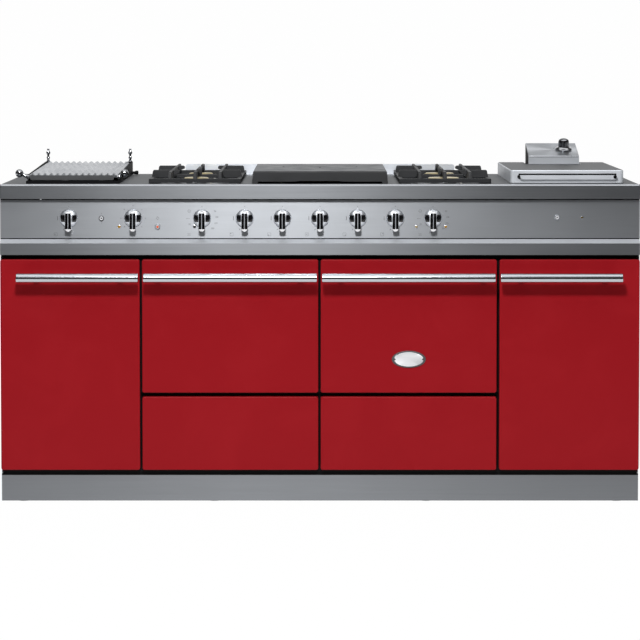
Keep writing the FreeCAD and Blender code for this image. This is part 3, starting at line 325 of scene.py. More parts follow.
def zinc_coating(name, tone):
    """Galvanised sheet with its pattern of crystals."""
    material, tree, shader, place = start_material(name, Metallic=1.0)
    cells = add_node(tree, "ShaderNodeTexVoronoi", {"Vector": place, "Scale": 55.0})
    flakes = cells.outputs["Color"]
    feed(tree, shader.inputs, Base_Color=mixed(tree, flakes, tone, (0.58, 0.59, 0.6)),
         Roughness=span(tree, flakes, to_low=0.38, to_high=0.55))
    return material


def lens(name, tone, glow):
    """Moulded lamp lens, a little uneven inside."""
    material, tree, shader, place = start_material(
        name, Roughness=0.45, Coat_Weight=0.05, Emission_Strength=glow)
    cells = add_node(tree, "ShaderNodeTexVoronoi", {"Vector": place, "Scale": 900.0})
    deep = [channel * 0.6 for channel in tone]
    uneven = mixed(tree, cells.outputs["Distance"], tone, deep)
    feed(tree, shader.inputs, Base_Color=uneven, Emission_Color=uneven)
    return material


def dark_glass(name, tone):
    material, tree, shader, place = start_material(name, Coat_Weight=1.0)
    made = effect(tree, "Handling", place, Scale=5.0, Roughness=0.04, Smear=0.08)
    feed(tree, shader.inputs, Roughness=made["Roughness"],
         Base_Color=mixed(tree, made["Mask"], tone, (0.014, 0.014, 0.015)))
    return material


PRESSED = {"rough": 0.45, "metallic": 0.3, "bump": 0.0, "contrast": 0.03}
BUTTON = {"rough": 0.5, "bump": 0.0, "contrast": 0.03}
MOULDED = {"metallic": 0.0, "grain": 500.0, "bump": 0.1, "contrast": 0.15, "depth": 0.0003}
SATIN = {"contrast": 0.03, "spread": 0.0, "bump": 0.01}
FLAT = {"contrast": 0.02, "bump": 0.01}
# For each finish its maker, its tone and the maker's other values. A tone is a share of the
# steel's, the name of one of the cooker's colours, or a colour.
RECIPES = {
    "steel_front": (brushed_steel, 1.0, {}),
    # Painted shade: the same steel toned darker, for the worktop's front band, the plinth and the
    # fryer tank's sides.
    "steel_edge": (brushed_steel, 0.52, {}),
    # Painted shade: the same steel toned darker, for the rail's front.
    "steel_rail": (brushed_steel, 0.6, {}),
    "steel_side": (brushed_steel, 0.9, {"turn": (0, 0, QUARTER)}),
    # Painted light: the same steel toned brighter, for the rear upstand.
    "steel_bright": (brushed_steel, 1.7, {"rough": 0.38, "spread": 0.4, "bump": 0.01}),
    # Painted shade and painted dark reflection: the same steel toned darker, for the worktop's top
    # and the fryer tank's top.
    "steel_top": (brushed_steel, 0.3, {"rough": 0.55, "spread": 0.0, "bump": 0.01}),
    "steel_well": (brushed_steel, 0.68, {"rough": 0.32, "spread": 0.0, "bump": 0.01}),
    # Painted dark reflection: the same steel toned darker, for the fryer lid's top.
    "steel_lid_top": (brushed_steel, 0.25, {**SATIN, "rough": 0.5, "bump": 0.0}),
    "satin_steel": (brushed_steel, 1.15, {**SATIN, "rough": 0.17}),
    "nickel": (brushed_steel, 1.8, {**SATIN, "rough": 0.4}),
    # Painted light: the same steel toned brighter, for the fryer head's sloping top.
    "steel_slope": (brushed_steel, 1.28, FLAT),
    "steel_badge": (brushed_steel, (0.97, 0.98, 1.0), FLAT),
    # Painted light: the same steel made half matt so that it reads brighter, for the rail's ledge,
    # the painted highlight along the worktop's rolled front edge, the fryer lid's front and sides,
    # and the fryer head's front.
    "steel_ledge": (casting, 0.92, PRESSED),
    "steel_lid": (casting, 1.5, PRESSED),
    "steel_head": (casting, 1.0, PRESSED),
    "button_steel": (casting, (0.55, 0.56, 0.58), {**BUTTON, "metallic": 0.1}),
    "button_dark": (casting, (0.12, 0.12, 0.13), {**BUTTON, "metallic": 0.2}),
    "iron": (casting, "iron", {"rough": 0.5, "metallic": 0.0, "shine": 0.3}),
    "machined_iron": (casting, (0.062, 0.067, 0.076), {**PRESSED, "metallic": 0.2}),
    "grill_metal": (casting, (0.46, 0.48, 0.51),
                    {"rough": 0.34, "metallic": 1.0, "bump": 0.1, "contrast": 0.1}),
    # Painted shade: a darker copy of the grill metal, for the ribbed plate's front lip; the
    # badge's rim and rivets take it too.
    "grill_lip": (casting, (0.09, 0.092, 0.096),
                  {"rough": 0.5, "metallic": 0.2, "bump": 0.02, "contrast": 0.05}),
    "brass": (casting, "brass", {"rough": 0.32, "metallic": 1.0, "bump": 0.12, "contrast": 0.2}),
    "burner_metal": (casting, (0.4, 0.41, 0.42), {"rough": 0.45, "metallic": 1.0, "bump": 0.3}),
    "element": (casting, (0.11, 0.1, 0.09), {"rough": 0.4, "metallic": 1.0, "bump": 0.1}),
    "rubber": (casting, (0.02, 0.02, 0.02), {**MOULDED, "rough": 0.6}),
    "ink": (casting, "mark", {**MOULDED, "rough": 0.5}),
    "chrome": (chrome, (0.83, 0.84, 0.86), {"rough": 0.045}),
    # Painted shade: chrome toned darker, standing for dark reflections, for the ball grips, the
    # turned posts and the fryer knob.
    "dark_chrome": (chrome, (0.42, 0.43, 0.45), {"rough": 0.12}),
    "red_enamel": (enamel, "enamel", {"rough": 0.38, "shine": 0.1}),
    "black_frame": (enamel, (0.004, 0.004, 0.0045), {"rough": 0.5, "shine": 0.1}),
    "trough_black": (enamel, (0.008, 0.008, 0.009), {"rough": 0.6, "shine": 0.05}),
    # Glossy black for the grip strips, the fryer knob's grip and the button middles, and for the
    # painted reflection on the knobs' skirts.
    "black_inlay": (enamel, (0.004, 0.004, 0.005), {"rough": 0.1}),
    "ceramic": (enamel, (0.78, 0.76, 0.7), {"rough": 0.2}),
    "speckled_enamel": (speckled_enamel, (0.03, 0.034, 0.042), {}),
    "zinc_coating": (zinc_coating, (0.42, 0.43, 0.44), {}),
    "dark_glass": (dark_glass, (0.008, 0.008, 0.009), {}),
    "amber": (lens, (0.42, 0.22, 0.02), {"glow": 0.15}),
    "brown": (lens, (0.13, 0.085, 0.005), {"glow": 0.0}),
    "dull_amber": (lens, (0.42, 0.33, 0.18), {"glow": 0.1}),
    "smoke": (lens, (0.03, 0.03, 0.03), {"glow": 0.0}),
    "orange": (lens, (0.75, 0.1, 0.02), {"glow": 0.2}),
}


def finish(name):
    """The finish of that name, made the first time that it is asked for."""
    if name not in FINISHES:
        colours = bpy.context.scene.cooker_finish
        maker, tone, settings = RECIPES[name]
        if isinstance(tone, str):
            tone = tuple(getattr(colours, tone))
        elif isinstance(tone, float):
            tone = tuple(min(1, channel * tone) for channel in colours.steel)
        FINISHES[name] = maker(name, tone, **settings)
    return FINISHES[name]


def paint(bm, index, test=None):
    """Give unpainted faces a material: all, or those whose normal and middle pass a test.

    Until make_piece the indices count from one, and zero means unpainted. Whatever is left
    unpainted gets the first finish there.
    """
    if test:
        bm.normal_update()
    for face in bm.faces:
        if face.material_index == 0 and (not test or test(face.normal, face.calc_center_median())):
            face.material_index = index + 1


def round_edges(bm, edges, radius, segments=2):
    return bmesh.ops.bevel(bm, geom=edges, offset=radius, affect="EDGES", segments=segments,
                           profile=0.5, material=-1, clamp_overlap=True)


def edges_where(bm, test):
    """Edges with both ends at places that pass a test."""
    return [side for side in bm.edges if all(test(vert.co) for vert in side.verts)]


def end_face(bm, axis, pick=max):
    return pick(bm.faces, key=lambda face: face.calc_center_median()[axis])


def cut(bm, spot, across):
    """Add an edge loop where a plane meets the shape."""
    bmesh.ops.bisect_plane(bm, geom=bm.verts[:] + bm.edges[:] + bm.faces[:], plane_co=spot,
                           plane_no=across)


def add_box(bm, low, high, edge=0.0):
    low, high = Vector(low), Vector(high)
    size, middle = high - low, (low + high) / 2
    matrix = Matrix.Translation(middle) @ Matrix.Diagonal((*size, 1))
    verts = bmesh.ops.create_cube(bm, size=1.0, matrix=matrix)["verts"]
    if edge > 0:
        edges = list(dict.fromkeys(side for vert in verts for side in vert.link_edges))
        round_edges(bm, edges, edge)


def add_rod(bm, start, end, radius, segments=32, edge=0.0):
    """A straight round bar between two points, with its ends a little rounded."""
    start, end = Vector(start), Vector(end)
    made = bmesh.ops.create_cone(
        bm, cap_ends=True, cap_tris=False, segments=segments, radius1=radius, radius2=radius,
        depth=(end - start).length, matrix=upright((start + end) / 2, end - start))
    if edge > 0:
        faces = dict.fromkeys(face for vert in made["verts"] for face in vert.link_faces)
        round_edges(bm, [side for face in faces if len(face.verts) > 4 for side in face.edges],
                    edge)


def upright(spot, along):
    """Places a shape so that its Z axis points along a direction."""
    return Matrix.Translation(spot) @ along.to_track_quat("Z", "Y").to_matrix().to_4x4()


def facing(x, y, z):
    """Places a lathe or a flat shape so that its top looks out of the front."""
    return Matrix.Translation((x, y, z)) @ Matrix.Rotation(QUARTER, 4, "X")


def sideways(spot):
    """Places an outline seen from the side, so that it is raised towards the right."""
    turn = Matrix(((0, 0, 1, 0), (1, 0, 0, 0), (0, 1, 0, 0), (0, 0, 0, 1)))
    return Matrix.Translation(spot) @ turn


def join(bm, part, matrix=Matrix()):
    """Add a finished shape to another one."""
    mesh = bpy.data.meshes.new("part")
    bmesh.ops.transform(part, matrix=matrix, verts=part.verts)
    part.to_mesh(mesh)
    part.free()
    bm.from_mesh(mesh)
    bpy.data.meshes.remove(mesh)


def add_lathe(bm, profile, matrix, steps=48):
    """Spin a profile of radius and height pairs about the upright axis."""
    part = bmesh.new()
    verts = [part.verts.new((radius, 0, z)) for radius, z in profile]
    edges = [part.edges.new(pair) for pair in zip(verts, verts[1:])]
    bmesh.ops.spin(part, geom=verts + edges, cent=(0, 0, 0), axis=(0, 0, 1),
                   angle=math.tau, steps=steps, use_merge=True, use_duplicate=False)
    bmesh.ops.remove_doubles(part, verts=part.verts, dist=WELD)
    bmesh.ops.recalc_face_normals(part, faces=part.faces)
    join(bm, part, matrix)


def arc(cx, cz, radius, start, end, steps):
    """Points of an arc, with angles in degrees."""
    points = []
    for step in range(steps + 1):
        angle = math.radians(start + (end - start) * step / steps)
        points.append((cx + radius * math.cos(angle), cz + radius * math.sin(angle)))
    return points


def bulge(height, radius, start, end, steps):
    """Profile of a ball on a lathe's axis. Its angles start at the top."""
    return [(across, z) for z, across in arc(height, 0, radius, start, end, steps)]


def raise_faces(part, faces, depth):
    """Extrude flat faces along Z, and give the new corners."""
    raised = bmesh.ops.extrude_face_region(part, geom=faces)
    top = [item for item in raised["geom"] if isinstance(item, bmesh.types.BMVert)]
    bmesh.ops.translate(part, vec=(0, 0, depth), verts=top)
    return top


def add_prism(bm, points, depth, matrix=Matrix(), edge=0.0, segments=2):
    """Raise a flat outline along Z, and round the rim of its top."""
    part = bmesh.new()
    face = part.faces.new([part.verts.new((x, y, 0)) for x, y in points])
    face.normal_update()
    if face.normal.z < 0:
        face.normal_flip()
    top = raise_faces(part, [face], depth)
    bmesh.ops.recalc_face_normals(part, faces=part.faces)
    if edge > 0:
        rim = [side for side in part.edges if all(vert in top for vert in side.verts)]
        round_edges(part, rim, edge, segments)
    join(bm, part, matrix)


def add_object(name, data):
    thing = bpy.data.objects.new(name, data)
    bpy.context.scene.collection.objects.link(thing)
    return thing


def curve_shape(curve):
    """A curve or text as a shape. The curve itself is taken away."""
    holder = add_object("holder", curve)
    bpy.context.view_layer.update()
    mesh = bpy.data.meshes.new_from_object(holder)
    part = bmesh.new()
    part.from_mesh(mesh)
    bpy.data.objects.remove(holder)
    bpy.data.curves.remove(curve)
    bpy.data.meshes.remove(mesh)
    return part


def frame_shape(node):
    """A copy of a frame node's mesh, with its corners joined."""
    bm = bmesh.new()
    bm.from_mesh(frame["nodes"][node].data)
    bmesh.ops.remove_doubles(bm, verts=bm.verts, dist=WELD)
    return bm


def corner_normals(bm):
    """Normals that lean towards the larger faces, so that a panel stays flat to its edge."""
    found = {}
    for vert in bm.verts:
        left = set(vert.link_faces)
        while left:
            fan, waiting = [], [left.pop()]
            while waiting:
                face = waiting.pop()
                fan.append(face)
                for side in vert.link_edges:
                    if side.smooth and face in side.link_faces:
                        beside = left.intersection(side.link_faces)
                        left -= beside
                        waiting += beside
            normal = sum((face.normal * face.calc_area() for face in fan), Vector())
            for face in fan:
                found[vert.index, face.index] = normal.normalized()
    return [found[loop.vert.index, face.index] for face in bm.faces for loop in face.loops]


def make_piece(name, bm, finishes, body, replaces=()):
    """Turn a finished shape into an object that rides on a body."""
    bm.normal_update()
    for side in bm.edges:
        side.smooth = len(side.link_faces) == 2 and side.calc_face_angle(math.pi) < SMOOTH_ANGLE
    for face in bm.faces:
        face.smooth = True
        face.material_index = max(face.material_index - 1, 0)
    bm.verts.index_update()
    bm.faces.index_update()
    normals = corner_normals(bm)
    mesh = bpy.data.meshes.new(name)
    bm.to_mesh(mesh)
    bm.free()
    mesh.normals_split_custom_set(normals)
    for label in finishes:
        mesh.materials.append(finish(label))
    thing = add_object(name, mesh)
    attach(thing, body)
    if replaces:
        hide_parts(*replaces)


def dress(node, label, top_label=None):
    """Give a kept frame node a finish, and its upward faces another one."""
    mesh = frame["nodes"][node].data
    mesh.materials.clear()
    mesh.materials.append(finish(label))
    if top_label:
        mesh.materials.append(finish(top_label))
        for face in mesh.polygons:
            face.material_index = 1 if face.normal.z > 0.7 else 0


class COOKER_OT_fronts(bpy.types.Operator):
    """Enamelled doors and drawer fronts with rounded edges, inner panels and tubs"""

    bl_idname = "cooker.fronts"
    bl_label = "Doors and drawers"

    def execute(self, context):
        for name in FRONT_TRIM:
            self.front(name, context.scene.cooker_sizes)
        return {"FINISHED"}

    def front(self, name, sizes):
        low, high = BOX[name]
        left, right, top = FRONT_TRIM[name]
        low, high = low + Vector((left, 0, 0)), high + Vector((right, 0, top))
        thick = DOOR_BACK_Y - FRONT_Y
        back = low.y + thick
        bm = bmesh.new()
        add_box(bm, low, (high.x, back, high.z))
        upright_edges = [side for side in bm.edges
                         if abs(side.verts[0].co.y - side.verts[1].co.y) > thick / 2]
        round_edges(bm, upright_edges, sizes.corner, 5)
        rim = edges_where(bm, lambda spot: abs(spot.y - low.y) < NEAR)
        round_edges(bm, rim, sizes.door_edge, 3)
        paint(bm, 0)
        finishes = ["red_enamel", "zinc_coating"]
        if "drawer" in name:
            self.tub(bm, name, sizes.sheet)
        elif "oven" in name:
            self.oven_lining(bm, low, high, back)
            finishes = ["red_enamel", "speckled_enamel", "dark_glass", "chrome"]
        else:
            self.stamped_lining(bm, low, high, back)
        make_piece(f"{name}_shell", bm, finishes, name, [name])

    def stamped_lining(self, bm, low, high, y):
        """Back plate of a cupboard door, with a stamped border."""
        gap, deep, border, step = 0.004, 0.006, 0.018, 0.0015
        part = bmesh.new()
        add_box(part, (low.x + gap, y - deep, low.z + gap), (high.x - gap, y, high.z - gap))
        back = end_face(part, 1)
        bmesh.ops.inset_region(part, faces=[back], thickness=border)
        bmesh.ops.inset_region(part, faces=[back], thickness=0.004, depth=-step)
        join(bm, part)
        paint(bm, 1)

    def oven_lining(self, bm, low, high, y):
        """Inner side of an oven door: enamelled plate, dark glass and six screws."""
        self.stamped_lining(bm, low, high, y)
        border_x, border_z, screw_x, screw_z = 0.075, 0.07, 0.05, 0.045
        add_box(bm, (low.x + border_x, y - 0.003, low.z + border_z),
                (high.x - border_x, y - 0.0004, high.z - border_z), 0.001)
        paint(bm, 2)
        screw = [(0, 0.0014), (0.002, 0.0013), (0.004, 0.0004), (0.004, 0)]
        for x in (low.x + screw_x, (low.x + high.x) / 2, high.x - screw_x):
            for z in (low.z + screw_z, high.z - screw_z):
                inward = Matrix.Rotation(-QUARTER, 4, "X")
                add_lathe(bm, screw, Matrix.Translation((x, y - 0.0016, z)) @ inward, 20)
        paint(bm, 3)

    def tub(self, bm, name, sheet):
        """Open box behind a drawer front, with a rail on each side."""
        back = BOX[name][1].y
        rail_high, rail_wide, rail_z, rail_gap = 0.0076, 0.014, 0.1584, 0.03
        rim_z, floor_z, near, far = 0.232, 0.118, 0.034, 0.469
        x0, x1 = (near, far) if name == "right_drawer" else (-far, -near)
        part = bmesh.new()
        add_box(part, (x0, DOOR_BACK_Y, floor_z), (x1, back, rim_z))
        bmesh.ops.delete(part, geom=[end_face(part, 2)], context="FACES")
        round_edges(part, [side for side in part.edges if len(side.link_faces) == 2], 0.006, 3)
        bmesh.ops.recalc_face_normals(part, faces=part.faces)
        bmesh.ops.solidify(part, geom=part.faces[:], thickness=sheet)
        join(bm, part)
        for x in (x0 - rail_wide, x1):
            add_box(bm, (x, DOOR_BACK_Y + rail_gap, rail_z),
                    (x + rail_wide, back, rail_z + rail_high), 0.001)
        paint(bm, 1)


class COOKER_OT_handles(bpy.types.Operator):
    """Polished bars with their posts"""

    bl_idname = "cooker.handles"
    bl_label = "Door handles"

    POSTS = {"cabinet": (0.560, 0.794), "oven": (0.056, 0.455)}

    def execute(self, context):
        post, collar = 0.0075, 0.009
        for name, (left, right) in HANDLE_TRIM.items():
            low, high = BOX[f"{name}_handle"]
            radius = (high.z - low.z) / 2
            y, z = low.y + radius, (low.z + high.z) / 2
            bm = bmesh.new()
            add_rod(bm, (low.x + left, y, z), (high.x + right, y, z), radius, 64, 0.0025)
            side, kind = name.split("_")
            for reach in self.POSTS[kind]:
                x = SIDES[side] * reach
                add_rod(bm, (x, y, z), (x, high.y - 0.002, z), post)
                add_lathe(bm, [(post, 0.006), (0.0082, 0.003), (collar, 0.0012), (collar, 0),
                               (0, 0)], facing(x, high.y - NEAR, z), 40)
            make_piece(f"{name}_bar", bm, ["satin_steel"], f"{name}_door",
                       [f"{name}_handle"])
        return {"FINISHED"}


class COOKER_OT_badge(bpy.types.Operator):
    """Bare oval plate with a dark bevelled rim and a domed rivet at each end"""

    bl_idname = "cooker.badge"
    bl_label = "Badge"

    def execute(self, context):
        low, high = BOX["badge"]
        middle, half, thick, rivet_x = (low + high) / 2, (high - low) / 2, 0.003, 0.0398
        place = (facing(middle.x, high.y, middle.z)
                 @ Matrix.Diagonal((half.x, half.z, thick, 1)))
        bm = bmesh.new()
        add_lathe(bm, [(0, 0.78), (0.84, 0.74), (0.86, 0.6)], place, 96)
        paint(bm, 0)
        add_lathe(bm, [(0.86, 0.6), (0.875, 0.95), (0.93, 1.0), (0.985, 0.8), (1, 0.3),
                       (1, 0), (0, 0)], place, 96)
        for side in SIDES.values():
            add_lathe(bm, [(0, 0.0018), (0.0012, 0.0015), (0.0023, 0.0006), (0.0026, 0)],
                      facing(middle.x + side * rivet_x, high.y - thick * 0.72, middle.z), 24)
        paint(bm, 1)
        make_piece("badge_plate", bm, ["steel_badge", "grill_lip"],
                   "right_oven_door", ["badge"])
        return {"FINISHED"}


def knob_spot(name):
    """Middle of a bar knob on the panel."""
    low, high = BOX[name]
    return (low.x + high.x) / 2, high.z - KNOB_DROP


def fryer_knob_place(lift):
    """Places a shape on the fryer knob's axis, with Z out of the head."""
    joint = JOINTS["fryer_knob"]
    up = -Vector(joint["axis"]).normalized()
    return upright(Vector(joint["pos_m"]) + up * lift, up)


class COOKER_OT_knobs(bpy.types.Operator):
    """Nine bar knobs on domed skirts, and the round knob of the fryer"""

    bl_idname = "cooker.knobs"
    bl_label = "Knobs"

    FLUTE_TOP, FLUTE_LOW = 0.0150, -0.0295
    # Bounds of the black bands painted on the skirt as a painted reflection.
    INLAY_TOP, INLAY_LOW, INLAY_NEAR = 0.0094, -0.0104, 0.0105

    def execute(self, context):
        for name in TAP_KNOBS + ("timer_knob",) + OVEN_KNOBS:
            self.bar_knob(name)
        self.fryer_knob()
        return {"FINISHED"}

    def bar_knob(self, name):
        low, high = BOX[name]
        x, z = knob_spot(name)
        front, grip_foot = high.y - low.y, 0.005
        bm = bmesh.new()
        self.skirt(bm, x, high.y, z, (high.x - low.x) / 2)
        grip_top, grip_low, top_half, low_half = 0.0208, 0.0368, 0.0080, 0.0088
        outline = arc(0, grip_top - top_half, top_half, 0, 180, 10)
        outline += arc(0, low_half - grip_low, low_half, 180, 360, 14)
        deep = front - 0.0055
        grip = bmesh.new()
        add_prism(grip, outline, deep, edge=0.0011, segments=3)
        for height in (self.FLUTE_TOP, self.FLUTE_LOW):
            cut(grip, (0, height, 0), (0, 1, 0))
        for vert in grip.verts:
            past = max(vert.co.y - self.FLUTE_TOP, self.FLUTE_LOW - vert.co.y, 0)
            if vert.co.z > deep / 2:
                vert.co.z -= 0.9 * past
        join(bm, grip, facing(x, high.y - grip_foot, z))
        paint(bm, 0)
        self.flutes(bm, facing(x, high.y - front + 0.0006, z))
        make_piece(f"{name}_cap", bm, ["chrome", "black_inlay", "nickel"], name,
                   [name])

    def skirt(self, bm, x, y, z, radius):
        """The dome, with a black band painted on each side of the grip as a painted reflection of
        dark surroundings.
        """
        part = bmesh.new()
        add_lathe(part, [(0.004, 0.010), (0.008, 0.0098), (0.014, 0.0087), (0.019, 0.0066),
                         (0.0228, 0.0038), (radius - 0.0005, 0.0016), (radius, 0.0009),
                         (radius - 0.0003, 0), (0.0031, 0)], Matrix(), 64)
        for height in (self.INLAY_TOP, self.INLAY_LOW):
            cut(part, (0, height, 0), (0, 1, 0))
        for reach in (self.INLAY_NEAR, -self.INLAY_NEAR):
            cut(part, (reach, 0, 0), (1, 0, 0))
        # Painted reflection: the dome's sides beside the grip are painted black.
        paint(part, 1, lambda normal, spot: abs(spot.x) > self.INLAY_NEAR and spot.z > 0.0038
              and self.INLAY_LOW < spot.y < self.INLAY_TOP)
        paint(part, 2, lambda normal, spot: spot.z > 0.001)
        join(bm, part, facing(x, y, z))

    def flutes(self, bm, place):
        """Two black strips raised along the grip, with a bright rib between them."""
        rib = 0.0012
        for side in SIDES.values():
            outline = [(side * rib, self.FLUTE_TOP), (side * 0.0064, self.FLUTE_TOP),
                       (side * 0.0074, self.FLUTE_LOW), (side * rib, self.FLUTE_LOW)]
            add_prism(bm, outline, 0.0005, place, 0.0002, 1)
        paint(bm, 1)
        add_prism(bm, [(-rib, self.FLUTE_TOP), (rib, self.FLUTE_TOP), (rib, self.FLUTE_LOW),
                       (-rib, self.FLUTE_LOW)], 0.0006, place, 0.0003, 2)
        paint(bm, 2)

    def fryer_knob(self):
        place = fryer_knob_place(0.0015)
        skirt = [(0.0031, 0), (0.0248, 0), (0.025, 0.0008), (0.0246, 0.0024), (0.021, 0.0042),
                 (0.018, 0.0054), (0.0158, 0.0078)]
        side = [skirt[-1], (0.0152, 0.0095), (0.0152, 0.0245), (0.0145, 0.027), (0.0125, 0.0293)]
        dome = [side[-1], (0.0085, 0.0313), (0.004, 0.0323), (0, 0.0325)]
        bm = bmesh.new()
        for profile, index in ((skirt, 0), (side, 1), (dome, 0)):
            add_lathe(bm, profile, place, 64)
            paint(bm, index)
        bmesh.ops.remove_doubles(bm, verts=bm.verts, dist=WELD)
        for step in range(20):
            angle = math.tau * step / 20
            spot = Vector((math.cos(angle), math.sin(angle), 0)) * 0.0152
            add_rod(bm, place @ (spot + Vector((0, 0, 0.0105))),
                    place @ (spot + Vector((0, 0, 0.0235))), 0.0009, 10)
        paint(bm, 0)
        add_rod(bm, place @ Vector((0, 0.017, 0.0037)), place @ Vector((0, 0.0235, 0.0025)),
                0.0008, 10)
        paint(bm, 1)
        # Painted shade: the skirt and dome take chrome toned darker, standing for dark
        # reflections.
        make_piece("fryer_knob_cap", bm, ["dark_chrome", "black_inlay"], "fryer_knob",
                   ["fryer_knob"])


class COOKER_OT_buttons(bpy.types.Operator):
    """Push button caps with a small dark middle, or a larger orange one"""

    bl_idname = "cooker.buttons"
    bl_label = "Push buttons"

    def execute(self, context):
        for name in BUTTONS:
            low, high = BOX[name]
            front = PANEL_Y - low.y
            place = facing((low.x + high.x) / 2, PANEL_Y, (low.z + high.z) / 2)
            lit = name == "fan_button"
            radius = 0.0038 if lit else 0.0016
            bm = bmesh.new()
            add_lathe(bm, [(0, front - 0.0008), (0.0028, front - 0.0006), (0.0040, front),
                           (0.0050, front - 0.0003), (0.0055, front - 0.0012),
                           (0.0055, -0.005), (0.0074, -0.005), (0.0074, -0.0062),
                           (0, -0.0062)], place)
            paint(bm, 0)
            add_lathe(bm, [(0, front + 0.0004), (radius * 0.7, front + 0.0002),
                           (radius, front - 0.0006)], place, 32)
            paint(bm, 1)
            make_piece(f"{name}_cap", bm, ["button_steel", "orange" if lit else "black_inlay"],
                       name, [name])
        return {"FINISHED"}


class COOKER_OT_lamps(bpy.types.Operator):
    """Domed lamp lenses in thin rims, and the rings round the buttons"""

    bl_idname = "cooker.lamps"
    bl_label = "Lamps and rings"

    LAMPS = [(-0.565, 0.780, 0.0042, "amber"), (-0.353, 0.780, 0.0042, "smoke"),
             (0.271, 0.780, 0.0040, "dull_amber"), (0.354, 0.780, 0.0040, "amber"),
             (0.737, 0.806, 0.0032, "brown")]
    RINGS = [(-0.615, 0.804, 0.0075, "button_dark"), (-0.457, 0.780, 0.008, "nickel"),
             (0.667, 0.806, 0.0075, "nickel")]

    def execute(self, context):
        labels = list(dict.fromkeys(["nickel"] + [item[3] for item in self.LAMPS + self.RINGS]))
        bm = bmesh.new()
        for x, z, radius, label in self.LAMPS:
            place = facing(x, PANEL_Y, z)
            add_lathe(bm, [(0, 0.0024), (radius * 0.5, 0.0021), (radius * 0.85, 0.0012),
                           (radius * 0.97, 0)], place, 32)
            paint(bm, labels.index(label))
            add_lathe(bm, [(radius * 0.95, 0), (radius, 0.0011), (radius * 1.12, 0.0009),
                           (radius * 1.18, 0)], place, 32)
            paint(bm, 0)
        for x, z, radius, label in self.RINGS:
            add_lathe(bm, [(0.0058, 0), (0.0058, 0.0024), (0.0061, 0.0029),
                           (radius - 0.0008, 0.0029), (radius, 0.0018), (radius, 0)],
                      facing(x, PANEL_Y, z))
            paint(bm, labels.index(label))
        make_piece("lamps_and_rings", bm, labels, "cooker", ["indicator_lamps"])
        return {"FINISHED"}


